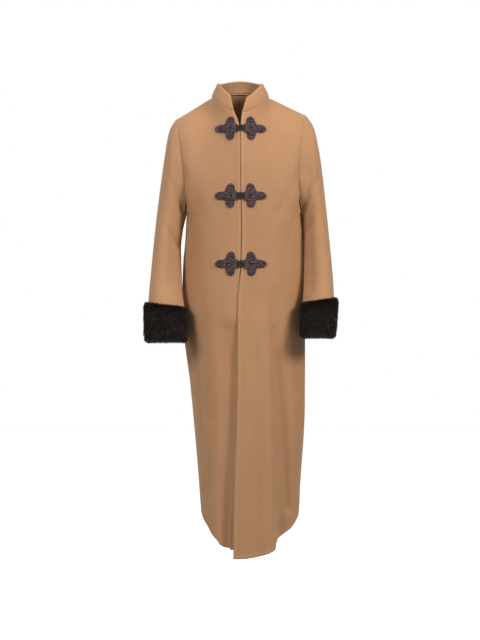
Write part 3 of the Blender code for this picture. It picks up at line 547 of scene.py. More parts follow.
class Finish(Nodes):
    """A material built around one Principled shader."""

    def __init__(self, name, **constants):
        self.material = bpy.data.materials.new(name)
        self.material.use_nodes = True
        super().__init__(self.material.node_tree)
        self.shader = self.tree.nodes["Principled BSDF"]
        for socket, value in constants.items():
            self.set(socket.replace("_", " "), value)

    def set(self, socket, value):
        """Feed one socket of the shader."""
        self.feed(self.shader.inputs[socket], value)

    def maths(self, operation, first, second):
        """A sum or product of two values or numbers."""
        made = self.node("ShaderNodeMath", {"operation": operation})
        self.feed(made.inputs[0], first)
        self.feed(made.inputs[1], second)
        return Value(self, made.outputs[0])

    def noise(self, scale, detail, roughness, upright=1.0):
        """Noise over the piece. An upright scale under 1 draws it out along the cloth's fall."""
        place = self.node("ShaderNodeTexCoord")
        turned = self.node("ShaderNodeMapping", Vector=Value(self, place.outputs["Object"]),
                           Scale=(1.0, 1.0, upright))
        made = self.node("ShaderNodeTexNoise", Vector=Value(self, turned.outputs["Vector"]), Scale=scale,
                         Detail=detail, Roughness=roughness)
        return Value(self, made.outputs["Fac"])

    def attribute(self, name):
        """A value that the mesh carries on its points."""
        made = self.node("ShaderNodeAttribute", {"attribute_name": name})
        return Value(self, made.outputs["Fac"])

    def clamp(self, value, low, high):
        """Spread a value so that low becomes 0 and high becomes 1."""
        made = self.node("ShaderNodeMapRange", {"clamp": True}, Value=value, From_Min=low, From_Max=high)
        return Value(self, made.outputs["Result"])

    def mix(self, factor, first, second):
        """A colour between two others. Mix has sockets of one name, so they go by number."""
        made = self.node("ShaderNodeMix", {"data_type": "RGBA"}, Factor=factor)
        self.feed(made.inputs[6], first)
        self.feed(made.inputs[7], second)
        return Value(self, made.outputs[2])

    def bump(self, height, distance, strength):
        """Raise the surface by a height, at most by the distance."""
        made = self.node("ShaderNodeBump", Height=height, Distance=distance, Strength=strength)
        self.set("Normal", Value(self, made.outputs["Normal"]))


def wool_finish():
    """Brushed camel wool: a short lying nap, soft mottling, a faint sheen, and a painted highlight along the
    roll of each free edge.
    """
    wool = Finish("camel_wool", Roughness=0.86, Sheen_Weight=0.28, Sheen_Roughness=0.42,
                  Sheen_Tint=(1.0, 0.84, 0.66, 1.0), Specular_IOR_Level=0.22)
    nap = wool.noise(scale=520.0, detail=3.0, roughness=0.62, upright=0.30)
    fibre = wool.noise(scale=1500.0, detail=2.0, roughness=0.60, upright=0.45)
    cloud = wool.noise(scale=16.0, detail=3.0, roughness=0.55, upright=0.55)
    wide = wool.noise(scale=4.5, detail=2.0, roughness=0.50, upright=0.6)
    tone = wool.clamp(nap * 0.34 + fibre * 0.26 + cloud * 0.22 + wide * 0.18, low=0.36, high=0.64)
    cloth = wool.mix(tone, CAMEL_DEEP, CAMEL_PALE)
    cloth = wool.mix(0.55, cloth, CAMEL)
    # The edge mask is the roll of each free edge: the colour turns up to 30 percent paler there, a painted
    # highlight on the roll
    edge = wool.attribute("edge")
    wool.set("Base Color", wool.mix(edge * 0.30, cloth, CAMEL_PALE))
    wool.set("Roughness", wool.clamp(nap * 0.6 + cloud * 0.4, low=-2.6, high=0.95))
    wool.bump(nap * 0.55 + fibre * 0.45, distance=0.00055, strength=0.55)
    return wool.material


def fur_finish():
    """Glossy short fur, nearly black at the root and brown at the tips."""
    fur = Finish("dark_fur", Roughness=0.42, Specular_IOR_Level=0.45, Sheen_Weight=0.20,
                 Sheen_Roughness=0.30, Sheen_Tint=(0.75, 0.68, 0.68, 1.0))
    tip = fur.attribute("tip")
    streak = fur.noise(scale=140.0, detail=2.0, roughness=0.6, upright=0.25)
    shade = fur.clamp(tip * 0.70 + streak * 0.45, low=0.25, high=1.10)
    fur.set("Base Color", fur.mix(shade, FUR_DARK, FUR_TIP))
    return fur.material


def pelt_finish():
    """The dense underfur between the hairs."""
    pelt = Finish("fur_ground", Roughness=0.75, Specular_IOR_Level=0.2)
    speck = pelt.noise(scale=900.0, detail=3.0, roughness=0.6, upright=0.3)
    pelt.set("Base Color", pelt.mix(speck, FUR_DARK, FUR_TIP))
    pelt.bump(speck, distance=0.0015, strength=0.8)
    return pelt.material


def braid_finish(name, dark, light):
    """Silky braid, twisted in fine strands that catch the light."""
    braid = Finish(name, Roughness=0.52, Specular_IOR_Level=0.30, Sheen_Weight=0.08,
                   Sheen_Roughness=0.35, Sheen_Tint=(0.85, 0.74, 0.76, 1.0))
    strand = braid.noise(scale=1700.0, detail=2.0, roughness=0.55)
    cloud = braid.noise(scale=260.0, detail=1.0, roughness=0.5)
    tone = braid.clamp(strand * 0.3 + cloud * 0.7, low=0.38, high=0.64)
    braid.set("Base Color", braid.mix(tone, dark, light))
    braid.bump(strand, distance=0.0005, strength=0.8)
    return braid.material


def smooth(t):
    """A step from 0 to 1 with soft ends."""
    t = min(max(t, 0.0), 1.0)
    return t * t * (3.0 - 2.0 * t)


def read(table, column, z):
    """Value of a column at height z, on a smooth curve through the table's rows."""
    if z <= table[0]["z"]:
        return table[0][column]
    if z >= table[-1]["z"]:
        return table[-1][column]
    upper = next(i for i, row in enumerate(table) if row["z"] >= z)
    rows = [table[max(upper - 2, 0)], table[upper - 1], table[upper], table[min(upper + 1, len(table) - 1)]]
    span = rows[2]["z"] - rows[1]["z"]
    t = (z - rows[1]["z"]) / span
    slope_low = (rows[2][column] - rows[0][column]) / (rows[2]["z"] - rows[0]["z"]) * span
    slope_high = (rows[3][column] - rows[1][column]) / (rows[3]["z"] - rows[1]["z"]) * span
    low, high = rows[1][column], rows[2][column]
    return ((2 * t**3 - 3 * t**2 + 1) * low + (t**3 - 2 * t**2 + t) * slope_low
            + (3 * t**2 - 2 * t**3) * high + (t**3 - t**2) * slope_high)


def straight(table, column, z):
    """Value of a column at height z, on straight lines between the table's rows."""
    for low, high in zip(table, table[1:]):
        if z <= high["z"]:
            t = max((z - low["z"]) / (high["z"] - low["z"]), 0.0)
            return low[column] + (high[column] - low[column]) * t
    return table[-1][column]


def fold_push(folds, angles, heights, radius):
    """How far the folds push the cloth out, at one angle and height or at whole arrays."""
    total = numpy.zeros_like(angles)
    for fold in folds:
        turn = (angles - fold["top"][0] + 180.0) % 360.0 - 180.0
        across = numpy.radians(turn) * radius
        down = fold["top"][1] - heights
        run = math.radians(fold["foot"][0] - fold["top"][0]) * radius
        drop = fold["top"][1] - fold["foot"][1]
        t = numpy.clip((across * run + down * drop) / (run * run + drop * drop), 0.0, 1.0)
        distance = numpy.hypot(across - run * t, down - drop * t)
        push = fold["start"] + (fold["end"] - fold["start"]) * t
        total += push * numpy.exp(-(distance / fold["width"]) ** 2)
    return total


def hem_height(side, angle):
    """The hem is low at front and back and rises to the sides, more on the wearer's right."""
    low = HEM_FRONT_Z[side] if abs(angle) <= 90.0 else HEM_BACK_Z
    rise = abs(math.sin(math.radians(angle))) ** HEM_CURVE
    return low + (HEM_SIDE_Z[side] - low) * rise


def body_point(angle, z):
    """Outer face of the coat below the underarms. Angle 0 is the front, 180 the back."""
    sine = math.sin(math.radians(angle))
    cosine = math.cos(math.radians(angle))
    left = read(BODY, "left", z)
    right = read(BODY, "right", z)
    in_front = abs((angle + 180.0) % 360.0 - 180.0) <= 90.0
    middle = read(OPENING, "middle", z) if in_front else (left + right) / 2
    depth = read(OPENING, "front", z) if in_front else read(BODY, "back", z)
    half = left - middle if sine >= 0 else middle - right
    push = float(fold_push(BODY_FOLDS, angle, z, BODY_FOLD_RADIUS))
    return Vector((middle + sine * (half + push), abs(cosine) * depth - cosine * push, z))


def ring_point(ring, angle):
    """A point of the neckline or of the collar's top edge."""
    sine = math.sin(math.radians(angle))
    cosine = math.cos(math.radians(angle))
    half = ring["left"] if sine >= 0 else -ring["right"]
    end = "front" if cosine >= 0 else "back"
    z = ring["z_side"] * sine**2 + ring["z_" + end] * cosine**2
    return Vector((half * sine, ring[end] * abs(cosine), z))


def ring_angle(ring, x):
    """Angle of the front point of a ring at this x."""
    half = ring["left"] if x >= 0 else -ring["right"]
    return math.degrees(math.asin(x / half))


def armhole_point(side, angle):
    """Armhole seam: 0 at the shoulder tip, 90 at the front, 180 under the arm."""
    tip, front, under, back = (Vector(ARMHOLES[side][key]) for key in ("tip", "front", "under", "back"))
    return loop_point(tip, front, under, back, angle)


def loop_point(outer, front, inner, back, angle):
    """A smooth closed curve through four points, a quarter turn apart."""
    a = math.radians(angle)
    middle = (outer + inner + front + back) / 4
    shape = (outer + inner - front - back) / 4
    round_part = (outer - inner) / 2 * math.cos(a) + (front - back) / 2 * math.sin(a)
    return middle + round_part + shape * math.cos(2 * a)


def patch_point(u, v, bottom, top, start, end):
    """Surface between four boundary curves. u runs to the armhole and v runs up."""
    wu, wv = smooth(u), smooth(v)
    corners = (bottom(0.0) * (1 - wu) * (1 - wv) + bottom(1.0) * wu * (1 - wv)
               + top(0.0) * (1 - wu) * wv + top(1.0) * wu * wv)
    return (bottom(u) * (1 - wv) + top(u) * wv + start(v) * (1 - wu) + end(v) * wu) - corners


def yoke_height(v, low, high):
    """Rows lie a little closer near the underarm and the shoulder, as on the armhole."""
    return low + (high - low) * (v + (1 - math.cos(math.pi * v)) / 2) / 2


def ease(rows, first_column):
    """Let the upper rows of a panel settle, with its edges held, so that no crease stays."""
    grid = as_array(rows)
    bend = numpy.zeros_like(grid)
    pull = numpy.zeros_like(grid)
    free = (slice(FIRST_EASED_ROW, -1), slice(first_column, -HELD_COLUMNS))
    for _ in range(EASE_TURNS):
        bend[1:-1, 1:-1] = neighbours(grid) - 4 * grid[1:-1, 1:-1]
        pull[1:-1, 1:-1] = neighbours(bend) - 4 * bend[1:-1, 1:-1]
        grid[free] -= EASE_STEP * pull[free]
    return [[Vector(point) for point in row] for row in grid.tolist()]


def neighbours(grid):
    """Sum of the four neighbours of each inner point of a grid."""
    return grid[:-2, 1:-1] + grid[2:, 1:-1] + grid[1:-1, :-2] + grid[1:-1, 2:]


def neck_and_shoulder(side, u, first_angle, last_angle):
    """Top edge of half a panel: half the neckline, then the shoulder seam."""
    split = NECK_COLUMNS / FRONT_COLUMNS
    if u <= split:
        return ring_point(NECKLINE, first_angle + (last_angle - first_angle) * u / split)
    neck_point = ring_point(NECKLINE, last_angle)
    return neck_point.lerp(Vector(ARMHOLES[side]["tip"]), (u - split) / (1 - split))


def skirt_point(side, angle, row_z):
    """A point of the skirt, whose rows follow the hem. At a side the angle is exact, so panels meet."""
    if abs(abs(angle) - 90.0) < SIDE_ANGLE_ROOM:
        angle = math.copysign(90.0, angle)
    hem = hem_height(side, angle)
    lift = (row_z - HEM_LOWEST_Z) / (UNDERARM_Z - HEM_LOWEST_Z)
    return body_point(angle, hem + (UNDERARM_Z - hem) * lift)


def yoke_rows(bottom, top, start, end):
    """Rows of a panel above the underarm, between its four boundary curves."""
    return [[patch_point(column / FRONT_COLUMNS, step / YOKE_ROWS, bottom, top, start, end)
             for column in range(FRONT_COLUMNS + 1)]
            for step in range(1, YOKE_ROWS + 1)]


def front_rows(side):
    """Outer face of one front, in rows from the hem to the neck and shoulder."""
    sign = SIDES[side]
    edge = side + "_edge"

    def skirt(u, z):
        start = edge_angle(straight(OPENING, edge, z), z)
        return skirt_point(side, start + (sign * 90.0 - start) * u, z)

    def bottom(u):
        return skirt(u, UNDERARM_Z)

    def top(u):
        return neck_and_shoulder(side, u, ring_angle(NECKLINE, COLLAR_FOOT_ENDS[side]), sign * 90.0)

    def opening(v):
        z = yoke_height(v, UNDERARM_Z, top(0.0).z)
        return Vector((straight(OPENING, edge, z), read(OPENING, "front", z), z))

    def armhole(v):
        return armhole_point(side, 180.0 - 180.0 * v)

    rows = [[skirt(column / FRONT_COLUMNS, z) for column in range(FRONT_COLUMNS + 1)] for z in SKIRT_HEIGHTS]
    return rows + yoke_rows(bottom, top, opening, armhole)


def edge_angle(x, z):
    """Angle at which a front's edge starts, from its distance to the front's middle."""
    middle = read(OPENING, "middle", z)
    half = read(BODY, "left", z) - middle if x >= middle else middle - read(BODY, "right", z)
    return math.degrees(math.asin((x - middle) / half))


def back_half_rows(side):
    """Outer face of half the back, from the centre back line to the side."""
    sign = SIDES[side]

    def skirt(u, z):
        return skirt_point(side, sign * (180.0 - 90.0 * u), z)

    def bottom(u):
        return skirt(u, UNDERARM_Z)

    def top(u):
        return neck_and_shoulder(side, u, sign * 180.0, sign * 90.0)

    def centre(v):
        z = yoke_height(v, UNDERARM_Z, NECKLINE["z_back"])
        middle = (BODY[-1]["left"] + BODY[-1]["right"]) / 2
        return Vector((middle * (1 - smooth(v)), read(BACK_LINE, "back", z), z))

    def armhole(v):
        return armhole_point(side, 180.0 + 180.0 * v)

    rows = [[skirt(column / FRONT_COLUMNS, z) for column in range(FRONT_COLUMNS + 1)] for z in SKIRT_HEIGHTS]
    return rows + yoke_rows(bottom, top, centre, armhole)


def back_rows():
    """The whole back in one piece, from the wearer's right to the wearer's left."""
    halves = zip(back_half_rows("right"), back_half_rows("left"))
    return [right[::-1] + left[1:] for right, left in halves]


def sleeve_rings(side):
    """Outer face of a sleeve, in closed rings from the armhole to the wrist."""
    steps = 2 * YOKE_ROWS
    angles = [360.0 * step / steps for step in range(steps)]
    step_out = Vector((SIDES[side] * SEAM_GAP, 0.0, 0.0))
    rings = [[armhole_point(side, angle) + step_out for angle in angles]]
    for row in SLEEVES[side]:
        outer = Vector((row["out"][0], row["mid"], row["out"][1]))
        inner = Vector((row["in"][0], row["mid"], row["in"][1]))
        middle = (outer + inner) / 2
        front = middle + Vector((0.0, -row["deep"], 0.0))
        back = middle + Vector((0.0, row["deep"], 0.0))
        ring = []
        for angle in angles:
            point = loop_point(outer, front, inner, back, angle)
            away = (point - middle).normalized()
            push = float(fold_push(SLEEVE_FOLDS[side], angle, point.z, SLEEVE_FOLD_RADIUS))
            ring.append(point + away * push)
        rings.append(ring)
    return rings


def around(ring, ends, quarters):
    """A point of a ring, 0 at its wearer's left end, 2 at the back, 4 at its right end."""
    angle = 90.0 * quarters
    if quarters < 1.0:
        angle += ring_angle(ring, ends["left"]) * (1.0 - quarters)
    if quarters > 3.0:
        angle += ring_angle(ring, ends["right"]) * (quarters - 3.0)
    return ring_point(ring, angle)


def leaf_radius(angle):
    """Outline of the leaf at an angle from its outward lobe, the same up and down."""
    angle = abs((angle + 180.0) % 360.0 - 180.0)
    for low, high in zip(LEAF_OUTLINE, LEAF_OUTLINE[1:]):
        if angle <= high["angle"]:
            t = smooth((angle - low["angle"]) / (high["angle"] - low["angle"]))
            return low["radius"] + (high["radius"] - low["radius"]) * t
    return LEAF_OUTLINE[-1]["radius"]


def as_array(rows):
    """Rows of points as one array."""
    return numpy.array([[tuple(point) for point in row] for row in rows])


def unit(vectors):
    """The same directions, each of length one."""
    return vectors / numpy.linalg.norm(vectors, axis=-1, keepdims=True)


def mean_steps(points, axis):
    """Mean length of each step of a grid along one axis."""
    return numpy.linalg.norm(numpy.diff(points, axis=axis), axis=2).mean(axis=1 - axis)


def stops(lengths, step, near_start=(), near_end=()):
    """Stops along a grid, about a step apart, and more at given distances from its ends."""
    last = len(lengths)
    found = []
    for index, length in enumerate(lengths):
        parts = max(2, round(length / step))
        found += [index + part / parts for part in range(parts)]
    if near_start:
        clear = (near_start[-1] + step / 2) / lengths[0]
        found = [stop for stop in found if stop > clear]
        found = [0.0] + [distance / lengths[0] for distance in near_start] + found
    if near_end:
        clear = last - (near_end[-1] + step / 2) / lengths[-1]
        found = [stop for stop in found if stop < clear]
        found += [last - distance / lengths[-1] for distance in near_end[::-1]]
    return numpy.array(found + [float(last)])


def resample(points, places, kinks=None, closed=False):
    """Rows at the given places along the first axis, on smooth curves through the known rows.

    Kinks says at which rows, and how far at each of their points, a curve bends sharply instead.
    """
    count = len(points)
    if closed:
        padded = numpy.concatenate([points[-1:], points, points[:1]])
    else:
        before = 2 * points[:1] - points[1:2]
        after = 2 * points[-1:] - points[-2:-1]
        padded = numpy.concatenate([before, points, after])
    slope = (padded[2:] - padded[:-2]) / 2
    leaving, arriving = slope.copy(), slope.copy()
    for index, weight in (kinks or {}).items():
        share = weight[:, None]
        leaving[index] += (points[index + 1] - points[index] - slope[index]) * share
        arriving[index] += (points[index] - points[index - 1] - slope[index]) * share
    low = numpy.minimum(numpy.floor(places).astype(int), count - 1 if closed else count - 2)
    high = (low + 1) % count
    t = (places - low)[:, None, None]
    return ((2 * t**3 - 3 * t**2 + 1) * points[low] + (t**3 - 2 * t**2 + t) * leaving[low]
            + (3 * t**2 - 2 * t**3) * points[high] + (t**3 - t**2) * arriving[high])


def resample_columns(points, places, kinks=None, closed=False):
    """Columns at the given places along the second axis."""
    return resample(points.transpose(1, 0, 2), places, kinks, closed).transpose(1, 0, 2)


def even_stops(count, parts):
    """Stops all round a closed grid, with the same number of parts from each point to the next."""
    return numpy.array([index + part / parts for index in range(count) for part in range(parts)])


def grid_directions(points, closed=False):
    """Unit normals of a fine grid of points."""
    if closed:
        wide = numpy.concatenate([points[:, -1:], points, points[:, :1]], axis=1)
        across = wide[:, 2:] - wide[:, :-2]
    else:
        across = numpy.gradient(points, axis=1)
    along = numpy.gradient(points, axis=0)
    return unit(numpy.cross(across, along))


def outward_normals(points, middle, closed=False):
    """Unit normals that point away from the middle, and whether they had to be turned for that."""
    normals = grid_directions(points, closed)
    turned = ((points - middle) * normals).sum() < 0
    return (-normals if turned else normals), turned


def search_tree(places):
    """A tree that finds which of the places lies nearest to a point."""
    tree = KDTree(len(places))
    for index, place in enumerate(places):
        tree.insert(place, index)
    tree.balance()
    return tree


def distance_to(points, border):
    """Distance of every point of a grid to the nearest point of a border."""
    tree = search_tree(border)
    flat = points.reshape(-1, 3)
    return numpy.array([tree.find(place)[2] for place in flat]).reshape(points.shape[:2])


def sheet_mesh(name, points, closed=False, turned=False):
    """A sheet of quads through a grid of points, closed to a tube if asked."""
    if closed:
        points = numpy.concatenate([points, points[:, :1]], axis=1)
    rows, columns = points.shape[:2]
    bm = bmesh.new()
    bmesh.ops.create_grid(bm, x_segments=columns - 1, y_segments=rows - 1, size=0.5)
    mesh = bpy.data.meshes.new(name)
    bm.to_mesh(mesh)
    mesh.vertices.foreach_set("co", points.ravel())
    bm.free()
    if closed:
        merge_doubles(mesh)
    if turned:
        mesh.flip_normals()
    mesh.shade_smooth()
    return mesh


def merge_doubles(mesh, seal=False):
    """Join points that lie on each other. Sealing also fills holes and turns all faces outwards."""
    bm = bmesh.new()
    bm.from_mesh(mesh)
    bmesh.ops.remove_doubles(bm, verts=bm.verts, dist=MERGE_DISTANCE)
    if seal:
        bmesh.ops.holes_fill(bm, edges=bm.edges, sides=0)
        bmesh.ops.recalc_face_normals(bm, faces=bm.faces)
    bm.to_mesh(mesh)
    bm.free()


def show(name, mesh, material):
    """Put a finished mesh in the scene, riding on the coat's body."""
    piece = bpy.data.objects.new(name, mesh)
    bpy.context.scene.collection.objects.link(piece)
    mesh.materials.clear()
    mesh.materials.append(material)
    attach(piece, "root")
    return piece


def cloth_piece(name, points, lift, thickness, seams, edges, middle, roll_share=1.0, closed=False):
    """Push the creases, draw the seams in, round the free edges, and give the wall its thickness."""
    normals, turned = outward_normals(points, middle, closed)
    depth = SEAM_DEPTH * numpy.exp(-(distance_to(points, seams) / SEAM_WIDTH) ** 2)
    edge = distance_to(points, edges)
    roll = numpy.exp(-((edge - ROLL_DISTANCE) / ROLL_WIDTH) ** 2) * roll_share
    rim = numpy.clip(1.0 - edge / RIM_WIDTH, 0.0, 1.0)
    rounding = RIM_DROP * (1.0 - numpy.sqrt(1.0 - rim * rim * RIM_ROUND))
    points = points + normals * (lift - depth + ROLL_HEIGHT * roll - rounding)[..., None]
    mesh = sheet_mesh(name, points, closed, turned)
    if not closed:
        # The roll is stored as the wool's mask for its painted highlight along the free edges
        layer = mesh.attributes.new("edge", "FLOAT", "POINT")
        layer.data.foreach_set("value", roll.ravel())
    piece = show(name, mesh, WOOL)
    wall = piece.modifiers.new("wall", "SOLIDIFY")
    wall.thickness = thickness
    wall.offset = -1.0
    return piece, points


def body_creases(points, folds=BODY_CREASES):
    """How far the fine creases push each point of a body panel."""
    across = points[..., 0] / BODY_HALF_WIDTH
    forwards = -points[..., 1] / BODY_HALF_DEPTH
    return fold_push(folds, numpy.degrees(numpy.arctan2(across, forwards)), points[..., 2], BODY_FOLD_RADIUS)


def tucked(rows):
    """Below the lowest frog the wearer's right front passes under the left one."""
    points = as_array(rows)
    normals = grid_directions(points)
    normals *= -numpy.sign(normals[..., 1:2])
    for i, row in enumerate(rows):
        for j, point in enumerate(row):
            if point.z > UNDERARM_Z:
                continue
            left_edge = straight(OPENING, "left_edge", point.z)
            overlap = straight(OPENING, "right_edge", point.z) - left_edge
            amount = smooth((overlap + TUCK_START) / TUCK_RISE)
            near = smooth((point.x - left_edge + TUCK_REACH) / TUCK_FADE)
            points[i, j] -= normals[i, j] * (CLOTH + HEM_STEP) * amount * near
    return points


def panel_grid(points, neck_columns, side_columns, edge_start, edge_end):
    """A fine grid on a panel, sharp where the neckline meets the shoulder and under the arms."""
    top_row = numpy.zeros(len(points))
    top_row[-1] = 1.0
    places = stops(mean_steps(points, 1), COLUMN_STEP, edge_start, edge_end)
    fine = resample_columns(points, places, {column: top_row for column in neck_columns})
    beside = numpy.zeros(len(places))
    for column in side_columns:
        beside += [smooth(1.0 - abs(place - column)) for place in places]
    rows = stops(mean_steps(points, 0), ROW_STEP, EDGE_STOPS, SEAM_STOPS)
    return resample(fine, rows, {len(SKIRT_HEIGHTS) - 1: beside})


def make_front(side):
    """One front. The wearer's left one lies over the right one below the last frog."""
    rows = ease(front_rows(side), 1)
    points = as_array(rows) if side == "left" else tucked(rows)
    fine = panel_grid(points, (NECK_COLUMNS,), (FRONT_COLUMNS,), EDGE_STOPS, SEAM_STOPS)
    seams = numpy.concatenate([fine[:, -1], fine[-1]])
    edges = numpy.concatenate([fine[:, 0], fine[0]])
    share = numpy.ones(fine.shape[:2])
    folds = BODY_CREASES
    if side == "right":
        share = numpy.clip((fine[..., 2] - UNDERLAP_TOP_Z) / UNDERLAP_FADE, 0.0, 1.0)
        folds = BODY_CREASES + UNDERLAP_CREASES
    lift = body_creases(fine, folds)
    piece, fine = cloth_piece("wool_front_" + side, fine, lift, CLOTH, seams, edges, BODY_INSIDE, share)
    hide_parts("front_" + side)
    return fine


def make_back():
    """The whole back in one panel."""
    points = as_array(ease(back_rows(), HELD_COLUMNS))
    last = 2 * FRONT_COLUMNS
    neck = (FRONT_COLUMNS - NECK_COLUMNS, FRONT_COLUMNS + NECK_COLUMNS)
    fine = panel_grid(points, neck, (0, last), SEAM_STOPS, SEAM_STOPS)
    seams = numpy.concatenate([fine[:, 0], fine[:, -1], fine[-1]])
    piece, _ = cloth_piece("wool_back", fine, body_creases(fine), CLOTH, seams, fine[0], BODY_INSIDE)
    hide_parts("back")


def make_sleeve(side):
    """One long sleeve, set into its armhole."""
    rings = as_array(sleeve_rings(side))
    around_stops = stops(mean_steps(numpy.concatenate([rings, rings[:, :1]], axis=1), 1), COLUMN_STEP)[:-1]
    fine = resample_columns(rings, around_stops, closed=True)
    fine = resample(fine, stops(mean_steps(rings, 0), SLEEVE_STEP, SEAM_STOPS))
    into_armhole = unit(rings[0] - rings[1])
    inwards = unit(rings[0].mean(axis=0) - rings[0])
    turned_in = rings[0] + into_armhole * TURNING + inwards * (CLOTH + SEAM_ROOM)
    turned_in = resample(turned_in[:, None], around_stops, closed=True)[:, 0]
    fine = numpy.concatenate([turned_in[None], fine])
    middle = fine.mean(axis=1, keepdims=True)
    angles = numpy.broadcast_to(around_stops * 360.0 / rings.shape[1], fine.shape[:2])
    lift = fold_push(SLEEVE_CREASES[side], angles, fine[..., 2], SLEEVE_FOLD_RADIUS)
    piece, _ = cloth_piece("wool_sleeve_" + side, fine, lift, CLOTH, fine[1], fine[-1], middle, closed=True)
    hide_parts("sleeve_" + side)


def collar_rows():
    """The stand collar, from the neckline seam to its top edge."""
    rows = []
    for step in range(COLLAR_ROWS + 1):
        v = step / COLLAR_ROWS
        row = []
        for column in range(4 * NECK_COLUMNS + 1):
            quarters = column / NECK_COLUMNS
            foot = around(NECKLINE, COLLAR_FOOT_ENDS, quarters)
            top = around(COLLAR_TOP, COLLAR_TOP_ENDS, quarters)
            bulge = Vector((foot.x, foot.y, 0.0)).normalized() * COLLAR_BULGE * math.sin(math.pi * v)
            row.append(foot.lerp(top, v) + bulge + Vector((0.0, 0.0, COLLAR_LIFT)))
        rows.append(row)
    return rows


def make_collar():
    """The stand collar, open at the front, with its foot turned in behind the neckline."""
    points = as_array(collar_rows())
    fine = resample_columns(points, stops(mean_steps(points, 1), COLUMN_STEP, EDGE_STOPS, EDGE_STOPS))
    fine = resample(fine, stops(mean_steps(points, 0), COLUMN_STEP, SEAM_STOPS, EDGE_STOPS))
    inwards = unit(fine[0] * (-1.0, -1.0, 0.0))
    turned_in = fine[0] + inwards * (CLOTH + SEAM_ROOM) - numpy.array([0.0, 0.0, TURNING])
    edges = numpy.concatenate([fine[:, 0], fine[:, -1], fine[-1]])
    seam = fine[0]
    fine = numpy.concatenate([turned_in[None], fine])
    lift = numpy.zeros(fine.shape[:2])
    piece, _ = cloth_piece("wool_collar", fine, lift, COLLAR_CLOTH, seam, edges, COLLAR_INSIDE)
    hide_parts("collar")


def cuff_sections(side):
    """Sections of a cuff round the sleeve: the lining upwards, then the fur's outer face downwards."""
    points = as_array(sleeve_rings(side))
    normals, _ = outward_normals(points, points.mean(axis=1, keepdims=True), closed=True)
    last = len(points) - 1
    first = len(points) - CUFF_RINGS
    up = unit(points[first - 1] - points[first])
    down = unit(points[-1] - points[-2])
    lining = [points[i] + normals[i] * CUFF_GAP for i in range(last, first - 1, -1)]
    foot = lining[0] + down * (FUR_FOOT_DROP - FUR_END_ROOM)
    head = lining[-1] + up * (FUR_TOP_LIFT - FUR_END_ROOM)
    outer = [foot + (head - foot) * (1 - step["along"]) + normals[-2] * FUR_REACH * PELT_SHARE * step["reach"]
             for step in CUFF_PROFILE]
    return numpy.array([foot] + lining), numpy.array(outer)


def make_cuff(side, seed):
    """A fur cuff: a dense pelt, and short hairs that lie downwards in soft clumps."""
    lining, outer = cuff_sections(side)
    section = numpy.concatenate([lining, outer])
    section = resample(section, even_stops(len(section), PELT_SECTION_PARTS), closed=True)
    ring = section.transpose(1, 0, 2)
    ring = resample(ring, even_stops(len(ring), PELT_RING_PARTS), closed=True)
    mesh = sheet_mesh("cuff_pelt_" + side, numpy.concatenate([ring, ring[:1]]), closed=True)
    merge_doubles(mesh, seal=True)
    pelt = show("cuff_pelt_" + side, mesh, PELT)
    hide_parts("cuff_" + side)
    show("cuff_fur_" + side, hair_mesh(side, lining, outer, seed), FUR)


def hair_ground(lining, outer):
    """The face that the hairs grow from, with its outward normals and its way down the cuff."""
    face = numpy.concatenate([lining[-1:], outer, lining[:1]])
    fine = resample(face, numpy.linspace(0, len(face) - 1, FUR_ROWS))
    columns = numpy.linspace(0, face.shape[1], FUR_COLUMNS, endpoint=False)
    fine = resample(fine.transpose(1, 0, 2), columns, closed=True)
    normals, _ = outward_normals(fine, fine.mean(axis=(0, 1)))
    return fine, normals, unit(numpy.gradient(fine, axis=1))


def hair_lines(ground, draw):
    """Roots and tips of the hairs, all over the outer face and round both rims."""
    fine, normals, down = ground
    column = draw.integers(0, FUR_COLUMNS, HAIRS)
    along = draw.random(HAIRS)
    row = numpy.minimum((along * FUR_ROWS).astype(int), FUR_ROWS - 1)
    root = fine[column, row] + draw.normal(0.0, ROOT_SCATTER, (HAIRS, 3))
    lean = numpy.clip(along * LEAN_SLOPE - LEAN_DELAY, LEAN_LEAST, 1.0)[:, None]
    length = HAIR_LENGTH * draw.uniform(HAIR_SHORTEST, 1.0, HAIRS)[:, None]
    stand = normals[column, row] * (HAIR_STAND - STAND_LOSS * lean)
    lie = down[column, row] * HAIR_LIE * lean
    tip = root + (stand + lie) * length
    tip += draw.normal(0.0, TIP_SCATTER, (HAIRS, 3))
    clumps = tip[draw.choice(HAIRS, CLUMPS, replace=False)]
    tree = search_tree(clumps)
    nearest = numpy.array([tree.find(place)[1] for place in tip])
    tip += (clumps[nearest] - tip) * draw.uniform(*CLUMP_PULL, (HAIRS, 1))
    return root, tip


def hair_mesh(side, lining, outer, seed):
    """Short three sided hairs, each a slim spike from its root to its tip."""
    draw = numpy.random.default_rng(seed)
    root, tip = hair_lines(hair_ground(lining, outer), draw)
    axis = tip - root
    aside = unit(numpy.cross(axis, draw.normal(0.0, 1.0, (HAIRS, 3))))
    third = numpy.cross(unit(axis), aside)
    points = []
    for corner in HAIR_CORNERS:
        turn = math.radians(corner)
        points.append(root + (aside * math.cos(turn) + third * math.sin(turn)) * HAIR_RADIUS)
    verts = numpy.stack(points + [tip], axis=1)
    base = numpy.arange(HAIRS)[:, None, None] * verts.shape[1]
    faces = (base + numpy.array(HAIR_FACES)).reshape(-1, 3)
    mesh = bpy.data.meshes.new("cuff_fur_" + side)
    mesh.from_pydata(verts.reshape(-1, 3).tolist(), [], faces.tolist())
    shade = numpy.zeros(verts.shape[:2])
    shade[:, -1] = draw.uniform(*TIP_TONE, HAIRS)
    mesh.attributes.new("tip", "FLOAT", "POINT").data.foreach_set("value", shade.ravel())
    return mesh


